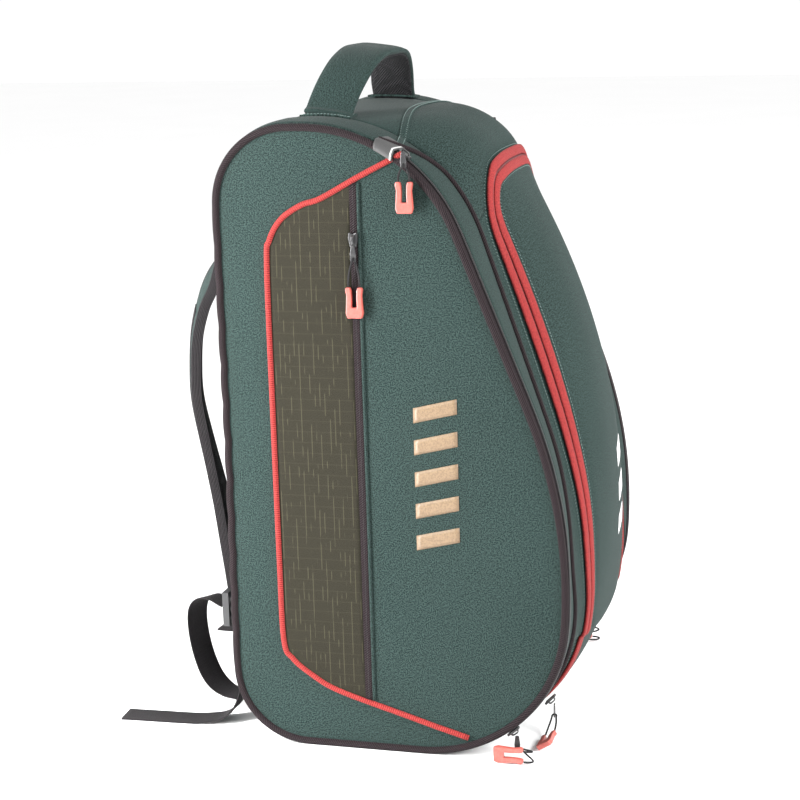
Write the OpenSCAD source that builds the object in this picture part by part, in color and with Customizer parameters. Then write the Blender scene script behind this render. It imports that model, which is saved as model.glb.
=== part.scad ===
// Racket backpack: a soft box with a racket compartment on each side, a central compartment under a
// domed front panel, a padded back with two shoulder straps, and a carry handle over the top.
// X runs across the bag, -Y is the front, +Y is the wearer's back, +Z is up.
// Lengths in the side view are counted from the back face: y = 0 there, and negative towards the front.

/* [Bag] */
// Height of the bag without its handle
bag_h = 550; // [540:1:560]
// Half of the width over the side panels
half_w = 158; // [154:1:164]
// Half of the width of the central compartment
centre_half_w = 106; // [100:1:112]
// Thickness of the lined fabric walls
wall = 5; // [4:0.5:6]
// Radius of the two rounded corners at the back
back_r = 66; // [60:1:70]
// Diameter of the edge piping
piping_d = 6.4; // [5:0.2:7]

/* [Side outline] */
// Radius of the shoulder at the top of the front edge
shoulder_r = 143; // [140:1:146]
// Distance of the shoulder's centre in front of the back face
shoulder_y = 79; // [75:1:82]
// Radius of the long sweep down the front edge
sweep_r = 425; // [420:1:430]
// Distance of the front edge from the back face at its deepest
depth = 302; // [298:1:306]
// Height of that deepest place
sweep_z = 155; // [150:1:160]
// Radius of the lower front corner
corner_r = 130; // [125:1:135]

/* [Front panel] */
// Distance of the dome of the front panel from the back face
dome_depth = 316; // [314:1:318]
// Height of the dome's deepest place
dome_z = 190; // [185:1:195]
// Radius of the dome's long sweep
dome_r = 580; // [575:1:585]
// Half of the width of the front panel
door_half_w = 77; // [74:1:80]
// Height of the front panel's lower edge
door_low = 42; // [40:1:45]
// Height of the front panel's upper edge
door_high = 518; // [516:1:520]
// Width of the red zip tape around the front panel
tape_w = 13; // [10:1:14]

/* [Straps and handle] */
// Furthest reach behind the back face, by the loop of the lower webbing
back_reach = 60; // [59:1:62]
// Reach of the middle of the shoulder straps behind the back face
strap_out = 51; // [49:1:54]
// Thickness of the padded straps
strap_t = 10; // [9:0.5:11]
// Width of the padded straps
strap_w = 60; // [56:1:62]
// Width of the strap webbing
webbing_w = 25; // [24:1:26]
// Width of the carry handle
handle_w = 40; // [38:1:42]
// Height of the top of the handle
handle_top = 608; // [604:1:612]

/* [Zips] */
// Width of a zip slider
slider_w = 8; // [7:0.5:9]
// Length of a zip slider
slider_l = 12; // [11:0.5:13]
// Width of a rubber pull grip
grip_w = 15; // [14:0.5:16]
// Length of a rubber pull grip
grip_l = 26; // [24:1:28]
// Diameter of a pull cord
cord_d = 1.7; // [1.6:0.1:1.8]

/* [Hidden] */
$fn = 48;

LEFT = -1;
RIGHT = 1;
gap = 0.5;
green = [0.22, 0.31, 0.30];
olive = [0.25, 0.24, 0.20];
red = [0.76, 0.25, 0.23];
black = [0.07, 0.07, 0.075];
coral = [0.92, 0.45, 0.40];
metal = [0.16, 0.16, 0.17];

// The front face and the webbing reach equally far from the origin, so it lies under the bag's middle.
tape_t = 1;
y_back = (dome_depth + tape_t - back_reach) / 2;

// Outlines. Each is a closed run of circles in the side view, [y, z, radius], and the outline is the
// smooth curve that wraps round them all. Tangent joins make the long sweeps and the corners one curve.
front_y = -depth + sweep_r;
side_circles = [
    [-back_r, back_r, back_r],
    [-back_r, bag_h - back_r, back_r],
    [-shoulder_y, bag_h - shoulder_r, shoulder_r],
    [front_y, sweep_z, sweep_r],
    [front_y - sqrt(pow(sweep_r - corner_r, 2) - pow(corner_r - sweep_z, 2)), corner_r, corner_r]
];
dome_y = -dome_depth + dome_r;
dome_corner_r = 110;
dome_top_r = 76;
dome_circles = [
    [-back_r, back_r, back_r],
    [-back_r, bag_h - back_r, back_r],
    [-166, bag_h + 5 - dome_top_r, dome_top_r],
    [dome_y, dome_z, dome_r],
    [dome_y - sqrt(pow(dome_r - dome_corner_r, 2) - pow(dome_corner_r - dome_z, 2)),
     dome_corner_r, dome_corner_r]
];

function within(v) = min(1, max(-1, v));
// Angle of the common normal where the outline passes from circle a to circle b, anticlockwise.
function join_angle(a, b) =
    let (d = [b[0] - a[0], b[1] - a[1]])
    atan2(d[1], d[0]) - 90 + asin(within((a[2] - b[2]) / norm(d)));
function turn(from, to) = let (t = (to - from) % 360) t < -0.01 ? t + 360 : max(0, t);
function arc(y, z, r, from, sweep, steps) =
    [for (i = [0 : steps]) let (a = from + sweep * i / steps) [y + r * cos(a), z + r * sin(a)]];
// The wrapped outline, drawn in by inset (or out, where inset is negative).
function wrap(circles, inset) =
    let (n = len(circles))
    [for (i = [0 : n - 1])
        let (c = circles[i],
             from = join_angle(circles[(i + n - 1) % n], c),
             sweep = turn(from, join_angle(c, circles[(i + 1) % n])),
             steps = max(3, ceil(sweep / 8)))
        for (p = arc(c[0], c[1], c[2] - inset, from, sweep, steps)) p];

module side_shape(inset = 0) polygon(wrap(side_circles, inset));
module dome_shape(inset = 0) polygon(wrap(dome_circles, inset));

// Stands a shape drawn in the side view (y, z) up between two places across the bag.
module across(x0, x1)
    translate([x0, y_back, 0]) rotate([90, 0, 90]) linear_extrude(x1 - x0) children();
// Moves a solid made from the back face's own y = 0 to its place.
module from_back() translate([0, y_back, 0]) children();
// The same as across, on one side of the bag: from is nearer the middle.
module on_side(side, from, to)
    across(side > 0 ? from : -to, side > 0 ? to : -from) children();
module ring(inset, deeper) difference() { side_shape(inset); side_shape(deeper); }
module box_between(y0, z0, y1, z1) translate([y0, z0]) square([y1 - y0, z1 - z0]);

// Fold line of the side flaps: the zip's two ends, between which the panel bends.
fold_top = [-150, bag_h - 8];
fold_low = [-232, 18];
fold_slope = (fold_top[0] - fold_low[0]) / (fold_top[1] - fold_low[1]);
function fold_y(z) = fold_low[0] + fold_slope * (z - fold_low[1]);
module before_fold(clear)
    polygon([[fold_y(-20) - clear, -20], [fold_y(600) - clear, 600], [-500, 600], [-500, -20]]);
module behind_fold(clear)
    polygon([[fold_y(-20) + clear, -20], [fold_y(600) + clear, 600], [100, 600], [100, -20]]);
fold_clear = 0.4;

// Back: a stiff foam panel the whole width of the bag, with air mesh pads sewn on.
back_low = 60;
back_high = bag_h - 60;
module back_panel() color(black) from_back()
    translate([-half_w + 6, -wall - 1, back_low])
        cube([2 * half_w - 12, wall + 1, back_high - back_low]);

pad_t = 7;
module pad(x, z, w, h) from_back() translate([x - w / 2, 0, z]) cube([w, pad_t, h]);
module back_pads() color(black) {
    for (s = [LEFT, RIGHT]) pad(s * 68, 175, 88, 255);
    pad(0, 70, 224, 88);
}

// Middle: the shell of the central compartment. Its front is cut away behind the front panel, and a
// brow carries the top out to the dome.
brow_z = door_high + 6;
brow_half_w = door_half_w + 1.5 + tape_w;
module back_cut() box_between(-wall - 1.5, back_low - gap, 10, back_high + gap);
module center_shell() color(green) {
    difference() {
        across(-centre_half_w, centre_half_w) difference() { ring(0, wall); back_cut(); }
        across(-door_half_w + 5, door_half_w - 5) box_between(-500, door_low + 4, -180, door_high);
    }
    across(-brow_half_w, brow_half_w) intersection() {
        difference() { dome_shape(0); dome_shape(wall); }
        box_between(-260, brow_z, -120, 600);
    }
    for (s = [LEFT, RIGHT]) on_side(s, brow_half_w - 4, brow_half_w) intersection() {
        difference() { dome_shape(1); side_shape(1); }
        box_between(-260, brow_z, -150, 600);
    }
}
module divider(side) color(black)
    on_side(side, centre_half_w + gap, centre_half_w + 3.5) side_shape(wall + 2);
module left_divider() divider(LEFT);
module right_divider() divider(RIGHT);

// Sides: a gusset round each racket compartment, closed by a side panel that folds along its front.
gusset_in = centre_half_w + 4;
panel_out = half_w;
panel_in = half_w - 4;
module gusset(side) color(green)
    on_side(side, gusset_in, panel_in - gap) difference() { ring(0, wall); back_cut(); }
module left_gusset() gusset(LEFT);
module right_gusset() gusset(RIGHT);
module seam_pipings() color(black)
    for (s = [LEFT, RIGHT]) on_side(s, centre_half_w - 1, centre_half_w + 3.5)
        intersection() { ring(-2, 0); before_fold(0); box_between(-500, 20, 0, 535); }
module rear_panel(side) color(green)
    on_side(side, panel_in, panel_out)
        intersection() { side_shape(piping_d + 0.3); behind_fold(fold_clear); }
module left_rear_panel() rear_panel(LEFT);
module right_rear_panel() rear_panel(RIGHT);
piping_out = half_w + 2.7;
module rear_pipings() color(black)
    for (s = [LEFT, RIGHT]) on_side(s, panel_in + gap, piping_out)
        intersection() { ring(0, piping_d); behind_fold(1.5); }
module racket_zips() color(black)
    for (s = [LEFT, RIGHT]) on_side(s, panel_in - 8.5, panel_in - 1.5)
        intersection() { ring(-1.2, 0); before_fold(0); box_between(-500, 12, 0, 545); }

// Side trim, all on the rear part: an olive inlay, the red piping round it, and the pocket's zip.
trim_w = 5;
trim_edge = 46;
top_bend = [-trim_edge - 28, 448];
low_bend = [-trim_edge - 26, 97];
trim_line = concat(
    [[-150, 514], [-84, 485]],
    arc(top_bend[0], top_bend[1], 28, 70, -70, 5),
    arc(low_bend[0], low_bend[1], 26, 0, -62, 5),
    [[-100, 52], [-206, 20]]);
module red_pipings() color(red)
    for (s = [LEFT, RIGHT]) on_side(s, panel_out + 0.3, panel_out + 2.8) band(trim_line, trim_w);
inlay_front = 122;
module olive_panel(side) color(olive)
    on_side(side, panel_out + 0.3, panel_out + 1.3)
        polygon(concat(
            [[-inlay_front + 1, 496], [-84, 479.5]],
            arc(top_bend[0], top_bend[1], 23.5, 66, -66, 5),
            arc(low_bend[0], low_bend[1], 21.5, 0, -60, 5),
            [[-99, 58], [-inlay_front + 1, 52]]));
module left_olive_panel() olive_panel(LEFT);
module right_olive_panel() olive_panel(RIGHT);
zip_y = -inlay_front - 2;
zip_low = 50;
zip_high = 496;
module pocket_zips() color(black)
    for (s = [LEFT, RIGHT]) on_side(s, panel_out + 0.3, panel_out + 1.6)
        box_between(zip_y - 2.6, zip_low, zip_y + 2.6, zip_high);

// Side flaps: the front part of each side panel, which the racket zip lets go.
module flap(side) color(green)
    on_side(side, panel_in, panel_out)
        intersection() { side_shape(piping_d + 0.3); before_fold(fold_clear); }
module left_flap() flap(LEFT);
module right_flap() flap(RIGHT);
module flap_piping(side) color(black)
    on_side(side, panel_in + gap, piping_out)
        intersection() { ring(0, piping_d); before_fold(1.5); }
module left_flap_piping() flap_piping(LEFT);
module right_flap_piping() flap_piping(RIGHT);

// Front panel: a domed lid with cheeks and a lip, hinged along its lower edge.
lid_clear = 1;
module lid_zone() box_between(-500, door_low, -100, door_high);
module front_panel() color(green) {
    across(-door_half_w, door_half_w) intersection() {
        difference() { dome_shape(0); dome_shape(wall); side_shape(-lid_clear); }
        lid_zone();
    }
    for (s = [LEFT, RIGHT]) on_side(s, door_half_w - 4, door_half_w) intersection() {
        difference() { dome_shape(1); side_shape(-lid_clear); }
        lid_zone();
    }
    across(-door_half_w + 2, door_half_w - 2) intersection() {
        difference() { dome_shape(1); side_shape(-lid_clear); }
        box_between(-500, door_low, -100, door_low + 4);
    }
}
module tape_ring() difference() { dome_shape(-tape_t); dome_shape(0); }
module front_zip_flap() color(red) {
    for (s = [LEFT, RIGHT]) on_side(s, door_half_w - tape_w, door_half_w)
        intersection() { tape_ring(); box_between(-500, door_low + 2, -180, door_high - 2); }
    across(-door_half_w + tape_w, door_half_w - tape_w)
        intersection() { tape_ring(); box_between(-500, door_high - 2 - tape_w, -180, door_high - 2); }
}
module front_zip_frame() color(red) {
    for (s = [LEFT, RIGHT]) on_side(s, door_half_w + 1.5, brow_half_w)
        intersection() { ring(-8, 0); box_between(-500, 30, -180, brow_z - 2); }
    across(-brow_half_w, brow_half_w)
        intersection() { tape_ring(); box_between(-500, brow_z, -180, brow_z + 10); }
}

// Carry handle: a padded strap sewn down at both ends, free to swing fore and aft between them.
handle_y = -88;
handle_half = 100;
module handle_bases() color(green)
    for (s = [LEFT, RIGHT]) from_back()
        translate([s * handle_half - 9, handle_y - handle_w / 2, bag_h]) cube([18, handle_w, 1.2]);
handle_start = bag_h + 12;
handle_t = 10;
handle_lean = 13;
// Its left half in the front view, [across, below its top].
handle_side = [[-101, 40], [-96, 32], [-87, 22], [-76, 13], [-62, 5.5], [-46, 1], [-28, 0]];
module handle() color(green) from_back() translate([0, handle_y, handle_start]) rotate([handle_lean, 0, 0])
    rotate([90, 0, 0]) linear_extrude(handle_w, center = true) {
        top = handle_top - handle_start - handle_t / 2 - 1;
        band([for (i = [0 : 13]) let (p = handle_side[i < 7 ? i : 13 - i])
            [i < 7 ? p[0] : -p[0], top * (1 - p[1] / 40)]], handle_t);
    }

// Shoulder straps. The yoke is sewn to the back panel, and a strap bows out behind it and comes back
// to a ladder lock, which the lower webbing from the bag's corner holds.
module strap_yoke() color(green) from_back() {
    translate([-108, 0, 464]) cube([216, 8, 22]);
    translate([-30, 0, 440]) cube([60, 5, 24]);
}
strap_line = [[10, 456], [16, 440], [28, 410], [40, 384], [48, 356], [strap_out, 326], [strap_out, 296],
              [45, 256], [37, 206], [32, 160], [28, 122]];
function unit(v) = v / norm(v);
function along(line, i) = unit(line[min(len(line) - 1, i + 1)] - line[max(0, i - 1)]);
function beside(line, off) = [for (i = [0 : len(line) - 1])
    let (d = along(line, i)) line[i] + off * [d[1], -d[0]]];
function reversed(v) = [for (i = [len(v) - 1 : -1 : 0]) v[i]];
module band(line, t) polygon(concat(beside(line, t / 2), reversed(beside(line, -t / 2))));
strap_in = 46;
module shoulder_strap(side) color(green)
    on_side(side, strap_in, strap_in + strap_w) band(strap_line, strap_t);
module left_shoulder_strap() shoulder_strap(LEFT);
module right_shoulder_strap() shoulder_strap(RIGHT);

lock_x = 88;
lock_w = 34;
module ladder_lock(side) color(black) difference() {
    on_side(side, lock_x - lock_w / 2, lock_x + lock_w / 2) box_between(25, 86, 31, 118);
    on_side(side, lock_x - webbing_w / 2 - 1, lock_x + webbing_w / 2 + 1) {
        box_between(24, 90, 32, 94);
        box_between(24, 99, 32, 103);
        box_between(24, 108, 32, 112);
    }
}
module left_ladder_lock() ladder_lock(LEFT);
module right_ladder_lock() ladder_lock(RIGHT);
webbing_t = 1.6;
webbing_line = [[33.5, 103], [46, 107], [56, 102], [back_reach - webbing_t / 2, 90], [58.5, 72], [54, 50],
                [46, 30], [35, 18], [22, 13]];
module lower_webbing(side) color(black)
    on_side(side, lock_x - webbing_w / 2, lock_x + webbing_w / 2) band(webbing_line, webbing_t);
module left_lower_webbing() lower_webbing(LEFT);
module right_lower_webbing() lower_webbing(RIGHT);
module corner_tabs() color(black)
    for (s = [LEFT, RIGHT]) on_side(s, lock_x - 20, lock_x + 20) {
        polygon(concat(arc(-back_r, back_r, back_r + 0.5, -60, 30, 4),
                       arc(-back_r, back_r, back_r + 2.5, -30, -30, 4)));
        band([[-18, 17], [14, 12.5]], 2.5);
    }

// A flat or round cord, swept along its route as one solid.
function loft_faces(rings, sides) = concat(
    [[for (j = [sides - 1 : -1 : 0]) j]],
    [for (i = [0 : rings - 2]) for (j = [0 : sides - 1])
        let (a = i * sides, k = (j + 1) % sides) [a + j, a + k, a + sides + k, a + sides + j]],
    [[for (j = [0 : sides - 1]) (rings - 1) * sides + j]]);
module strip(route, w, t) {
    points = [for (i = [0 : len(route) - 1])
        let (a = along(route, i), wide = unit([1, 0, 0] - a * a[0]), up = cross(wide, a))
        for (q = [[-1, -1], [1, -1], [1, 1], [-1, 1]]) route[i] + wide * q[0] * w / 2 + up * q[1] * t / 2];
    polyhedron(points, loft_faces(len(route), 4));
}
// Free tails of the webbing: out of the ladder lock, down to the ground, and along it.
tail_route = [[88, 22.5, 92], [89, 20, 80], [93, 17, 66], [99, 14, 50], [106, 12, 36], [112, 13, 24],
              [117, 18, 13], [120, 28, 5], [122, 42, 2], [124, 60, 1], [125, 82, 1], [126, 104, 1],
              [127, 124, 1]];
module strap_tail(side) color(black) from_back()
    strip([for (p = tail_route) [side * p[0], p[1], p[2]]], webbing_w, webbing_t);
module left_strap_tail() strap_tail(LEFT);
module right_strap_tail() strap_tail(RIGHT);

// Label: a folded tab over the top end of the left racket zip.
module on_arc(c, r, a, x) from_back()
    translate([x, c[0] + r * cos(a), c[1] + r * sin(a)]) rotate([a - 90, 0, 0]) children();
shoulder = side_circles[2];
corner = side_circles[4];
label_a = 115;
module label_tab() color(black)
    on_arc(shoulder, shoulder[2] + 2.2, label_a, -143) translate([-11, -10, 0]) cube([22, 20, 1.2]);

// Zip sliders. Each runs on its zip and carries a metal tab, a cord loop and a rubber grip.
module slider_body() color(metal) {
    translate([-slider_w / 2, -slider_l / 2, 1.8]) cube([slider_w, slider_l, 2.6]);
    translate([-1.2, -3.5, 4.4]) cube([2.4, 7, 2.2]);
}
tab_l = 13.4;
tab_hole = 10.6;
cord_top = 11;
cord_l = 27;
grip_top = cord_top + cord_l - 3;
leg = (grip_w + 4.4) / 4;
// Hangs from the origin down -Z, flat in the local YZ plane.
module tab() color(metal) difference() {
    translate([-0.5, -2.6, -tab_l]) cube([1, 5.2, tab_l - 1]);
    translate([0, 0, -tab_hole]) rotate([0, 90, 0]) cylinder(h = 4, d = 3, center = true);
}
// Its two legs, which hold the cord's ends, point along +Z from the origin at their tips.
module grip() color(coral) difference() {
    translate([-2.2, -grip_w / 2, -grip_l]) cube([4.4, grip_w, grip_l]);
    translate([-3, -2.2, 9 - grip_l]) cube([6, 4.4, grip_l]);
}
module pull_parts(lifted = 0) {
    tab();
    translate([0, 0, lifted - grip_top]) grip();
}
hang_route = [[0, -leg, -34.6], [0.3, -4.6, -28], [0.8, -3.4, -21], [1.5, -1.6, -15.5], [1.9, -0.3, -12.4],
              [0.9, 0, -10.6], [-0.9, 0, -10.6], [-1.9, 0.3, -12.4], [-1.5, 1.6, -15.5], [-0.8, 3.4, -21],
              [-0.3, 4.6, -28], [0, leg, -34.6]];
module cord_loop(route) color(black) {
    sides = 8;
    points = [for (i = [0 : len(route) - 1])
        let (a = along(route, i), off = abs(a[2]) > 0.9 ? [1, 0, 0] : [0, 0, 1],
             m = unit(cross(a, off)), n = cross(a, m))
        for (j = [0 : sides - 1])
            route[i] + cord_d / 2 * (cos(j * 360 / sides) * n + sin(j * 360 / sides) * m)];
    polyhedron(points, loft_faces(len(route), sides));
}

// A hanging cord whose legs are shorter by lifted.
function hung_higher(lifted) = let (bend_z = -12.4, full = bend_z - hang_route[0][2])
    [for (p = hang_route) [p[0], p[1], p[2] < bend_z ? bend_z + (p[2] - bend_z) * (full - lifted) / full : p[2]]];

// Racket zips: an upper slider on the shoulder and a lower one on the front corner, on both sides.
zip_x = panel_in - 5;
top_a = 127;
low_a = 233;
module top_slider(side) on_arc(shoulder, shoulder[2], top_a, side * zip_x) slider_body();
module left_top_slider() top_slider(LEFT);
module right_top_slider() top_slider(RIGHT);
// The upper pull hangs over the piping, against the side flap, on a shorter cord than the others.
top_lifted = 10;
top_pull_x = half_w + 6.5;
module top_hang(side) from_back()
    translate([side * top_pull_x, shoulder[0] + (shoulder[2] + 8) * cos(top_a),
               shoulder[1] + (shoulder[2] + 8) * sin(top_a)]) children();
module top_pull(side) {
    top_hang(side) pull_parts(top_lifted);
    color(metal) top_hang(side) translate([side > 0 ? -11 : -0.7, -2, -2.2]) cube([11.7, 4, 1.2]);
}
module left_top_pull() top_pull(LEFT);
module right_top_pull() top_pull(RIGHT);
module left_top_cord() top_hang(LEFT) cord_loop(hung_higher(top_lifted));
module right_top_cord() top_hang(RIGHT) cord_loop(hung_higher(top_lifted));

module low_slider(side) on_arc(corner, corner_r, low_a, side * zip_x) slider_body();
module left_low_slider() low_slider(LEFT);
module right_low_slider() low_slider(RIGHT);
// The lower pull's cord bends round on the ground, and its grip stands there on its edge, beside the
// corner. Its route is counted from the tab's hole: outwards, forwards and up.
low_pivot = [corner[0] + (corner_r + 8) * cos(low_a), corner[1] + (corner_r + 8) * sin(low_a)];
low_grip = [16, 9, 8.3 - low_pivot[1] + tab_hole];
low_route = [[16, 9, 3], [15.8, 13, 2.8], [13.5, 16, 2.2], [10, 14, 1.5], [6, 8, 0.8], [3, 3, 0.2],
             [1.9, 0.8, 0], [0.9, 0, 0], [-0.9, 0, 0], [-1.9, 0.8, -0.8], [-1.2, 4, -3], [3, 9.5, -5.6],
             [8, 14.5, -6.8], [13, 16.5, -6.9], [15.8, 13, -6.8], [16, 9, -6.7]];
module low_hang(side) from_back() translate([side * zip_x, low_pivot[0], low_pivot[1]]) children();
module low_pull(side) low_hang(side) {
    tab();
    translate([side * low_grip[0], 0.4 - low_grip[1], low_grip[2] - tab_hole]) rotate([90, 0, 0]) grip();
}
module low_cord(side) low_hang(side)
    cord_loop([for (p = low_route) [side * p[0], -p[1], p[2] - tab_hole]]);
module left_low_pull() low_pull(LEFT);
module right_low_pull() low_pull(RIGHT);
module left_low_cord() low_cord(LEFT);
module right_low_cord() low_cord(RIGHT);

// Pocket zips: one slider on each side, which runs straight down the panel.
pocket_z = 454;
module pocket_place(side) from_back()
    translate([side * (panel_out + 1.6), zip_y, pocket_z]) rotate([0, side * 90, 0]) children();
module pocket_slider(side) pocket_place(side) rotate([0, 0, 90]) translate([0, 0, -1.2]) slider_body();
module left_pocket_slider() pocket_slider(LEFT);
module right_pocket_slider() pocket_slider(RIGHT);
module pocket_hang(side) from_back()
    translate([side * (panel_out + 6), zip_y, pocket_z - 5]) children();
module pocket_pull(side) pocket_hang(side) pull_parts();
module left_pocket_pull() pocket_pull(LEFT);
module right_pocket_pull() pocket_pull(RIGHT);
module left_pocket_cord() pocket_hang(LEFT) cord_loop(hang_route);
module right_pocket_cord() pocket_hang(RIGHT) cord_loop(hang_route);

// Front zip: its slider is parked at the foot of the left leg.
front_zip_x = -(door_half_w + 1.5 + tape_w / 2);
front_a = 225;
front_r = corner_r + 8;
module front_slider() on_arc(corner, front_r, front_a, front_zip_x) slider_body();
// Its pull lies sideways on the ground, towards the corner. Its route is counted from the pivot:
// backwards, to the left and up.
front_pivot = [corner[0] + (front_r + 8) * cos(front_a), corner[1] + (front_r + 8) * sin(front_a)];
front_roll = 30;
front_grip = [0, 24, 6.4 - front_pivot[1]];
front_leg = [leg * cos(front_roll), leg * sin(front_roll)];
front_route = [[-front_leg[0], 23.6, front_grip[2] + front_leg[1]], [-4, 17, -16.2], [-3.2, 9, -14],
               [-2.2, 4, -11.8], [-1.9, 1.2, -10.8], [-0.9, 0, -10.6], [0.9, 0, -10.6], [1.9, 1.2, -11.4],
               [2.4, 5, -14.4], [3.4, 11, -18.4], [4.1, 17.5, -21.6],
               [front_leg[0], 23.6, front_grip[2] - front_leg[1]]];
module front_hang() from_back()
    translate([front_zip_x, front_pivot[0], front_pivot[1]]) rotate([0, 0, 90]) children();
module front_pull() front_hang() {
    tab();
    translate(front_grip) rotate([0, front_roll, 0]) rotate([90, 0, 0]) rotate([0, 0, 90]) grip();
}
module front_cord() front_hang() cord_loop(front_route);

back_panel();
back_pads();
center_shell();
left_divider();
right_divider();
left_gusset();
right_gusset();
seam_pipings();
left_rear_panel();
right_rear_panel();
rear_pipings();
racket_zips();
front_zip_frame();
strap_yoke();
label_tab();
handle_bases();
corner_tabs();
left_olive_panel();
right_olive_panel();
red_pipings();
pocket_zips();
left_flap();
right_flap();
left_flap_piping();
right_flap_piping();
front_panel();
front_zip_flap();
handle();
left_shoulder_strap();
right_shoulder_strap();
left_ladder_lock();
right_ladder_lock();
left_lower_webbing();
right_lower_webbing();
left_strap_tail();
right_strap_tail();
left_top_slider();
left_top_pull();
left_top_cord();
right_top_slider();
right_top_pull();
right_top_cord();
left_low_slider();
left_low_pull();
left_low_cord();
right_low_slider();
right_low_pull();
right_low_cord();
left_pocket_slider();
left_pocket_pull();
left_pocket_cord();
right_pocket_slider();
right_pocket_pull();
right_pocket_cord();
front_slider();
front_pull();
front_cord();
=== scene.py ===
import math
import bpy
import numpy as np
from mathutils import Matrix, Vector


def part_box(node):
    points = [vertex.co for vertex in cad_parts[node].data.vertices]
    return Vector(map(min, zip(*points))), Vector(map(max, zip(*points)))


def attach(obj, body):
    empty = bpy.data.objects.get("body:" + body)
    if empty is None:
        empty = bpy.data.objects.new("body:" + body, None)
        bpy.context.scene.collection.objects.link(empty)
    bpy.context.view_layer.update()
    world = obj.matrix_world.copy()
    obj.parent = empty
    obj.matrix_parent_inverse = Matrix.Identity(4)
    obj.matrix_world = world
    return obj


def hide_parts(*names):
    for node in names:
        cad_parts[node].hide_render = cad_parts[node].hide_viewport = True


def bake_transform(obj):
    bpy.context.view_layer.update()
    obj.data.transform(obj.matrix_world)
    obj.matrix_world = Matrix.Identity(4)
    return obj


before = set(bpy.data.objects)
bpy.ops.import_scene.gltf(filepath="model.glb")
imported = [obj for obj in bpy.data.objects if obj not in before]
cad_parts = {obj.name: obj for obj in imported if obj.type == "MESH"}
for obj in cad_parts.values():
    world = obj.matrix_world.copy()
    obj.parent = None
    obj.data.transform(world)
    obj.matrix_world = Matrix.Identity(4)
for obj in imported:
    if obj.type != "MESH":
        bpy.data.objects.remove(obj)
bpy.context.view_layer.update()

mm = 0.001
back_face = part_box("back_panel")[1][1]

# Camera, level with the bag's shoulder on its left side and well towards the front, looking down.
heading, pitch, roll = math.radians(16.05), math.radians(12.64), math.radians(-1.65)
camera = bpy.data.objects.new("camera", bpy.data.cameras.new("camera"))
bpy.context.scene.collection.objects.link(camera)
camera.data.lens = 90
camera.data.sensor_width = 36
camera.matrix_world = (
    Matrix.Translation((-1.7419, back_face - 0.6151, 0.6871))
    @ Matrix.Rotation(heading - math.pi / 2, 4, "Z")
    @ Matrix.Rotation(math.pi / 2 - pitch, 4, "X")
    @ Matrix.Rotation(roll, 4, "Z")
)
bpy.context.scene.camera = camera


# Studio: a pale floor, a large soft light beyond the front panel, a weak one at the camera's left, and
# a strip behind the bag that draws a rim along its back edge.
class Shade:
    """One value in a material. Sums on it become Math nodes."""

    def __init__(self, tree, socket):
        self.tree = tree
        self.socket = socket

    def node(self, kind, settings, inputs, out=0):
        made = self.tree.nodes.new("ShaderNode" + kind)
        for key, value in settings.items():
            if key == "stops":
                ramp = made.color_ramp
                while len(ramp.elements) < len(value):
                    ramp.elements.new(0.5)
                for stop, (place, colour) in zip(ramp.elements, value):
                    stop.position = place
                    stop.color = (*colour, 1)
            else:
                setattr(made, key, value)
        for key, value in inputs.items():
            if isinstance(value, Shade):
                self.tree.links.new(value.socket, made.inputs[key])
            else:
                made.inputs[key].default_value = value
        return Shade(self.tree, made.outputs[out])

    def math(self, operation, *terms):
        return self.node("Math", {"operation": operation}, dict(enumerate(terms)))

    def __add__(self, other):
        return self.math("ADD", self, other)

    def __sub__(self, other):
        return self.math("SUBTRACT", self, other)

    def __rsub__(self, other):
        return self.math("SUBTRACT", other, self)

    def __mul__(self, other):
        return self.math("MULTIPLY", self, other)

    def __truediv__(self, other):
        return self.math("DIVIDE", self, other)

    __radd__ = __add__
    __rmul__ = __mul__

    def wave(self):
        return self.math("SINE", self * (2 * math.pi))

    def over(self, low, high):
        """0 below low, 1 above high, and smooth between them."""
        return self.node("MapRange", {"interpolation_type": "SMOOTHSTEP"},
                         {"Value": self, "From Min": low, "From Max": high})

    def split(self, axis):
        return self.node("SeparateXYZ", {}, {0: self}, axis)

    def scaled(self, x, y, z=1):
        return self.node("VectorMath", {"operation": "MULTIPLY"}, {0: self, 1: (x, y, z)})

    def noise(self, scale, detail=2, rough=0.5):
        return self.node("TexNoise", {},
                         {"Vector": self, "Scale": scale, "Detail": detail, "Roughness": rough})

    def dye(self, first, second):
        """A colour between two, by this value."""
        return self.node("Mix", {"data_type": "RGBA"}, {0: self, 6: (*first, 1), 7: (*second, 1)}, 2)


def finish_of(name, place, rough, build, sheen=0.0, coat=0.0, see_through=0.0):
    """A material. build gets its place on the piece and says its colour, height and roughness change."""
    material = bpy.data.materials.new(name)
    material.use_nodes = True
    tree = material.node_tree
    tree.nodes.clear()
    shader = tree.nodes.new("ShaderNodeBsdfPrincipled")
    output = tree.nodes.new("ShaderNodeOutputMaterial")
    tree.links.new(shader.outputs[0], output.inputs[0])
    where = tree.nodes.new("ShaderNodeTexCoord")
    colour, height, depth, gloss = build(Shade(tree, where.outputs[place]))
    tree.links.new(colour.socket, shader.inputs["Base Color"])
    shader.inputs["Roughness"].default_value = rough
    if gloss is not None:
        tree.links.new((gloss * 0.18 + (rough - 0.09)).socket, shader.inputs["Roughness"])
    if height is not None:
        bump = height.node("Bump", {}, {"Height": height, "Distance": depth, "Strength": 1.0})
        tree.links.new(bump.socket, shader.inputs["Normal"])
    shader.inputs["Specular IOR Level"].default_value = 0.12 if rough > 0.65 else 0.5
    shader.inputs["Sheen Weight"].default_value = sheen
    shader.inputs["Sheen Roughness"].default_value = 0.4
    shader.inputs["Coat Weight"].default_value = coat
    shader.inputs["Transmission Weight"].default_value = see_through
    return material


def paper(place):
    return place.noise(3).dye((0.93, 0.93, 0.93), (0.96, 0.96, 0.96)), None, 0, None


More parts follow.
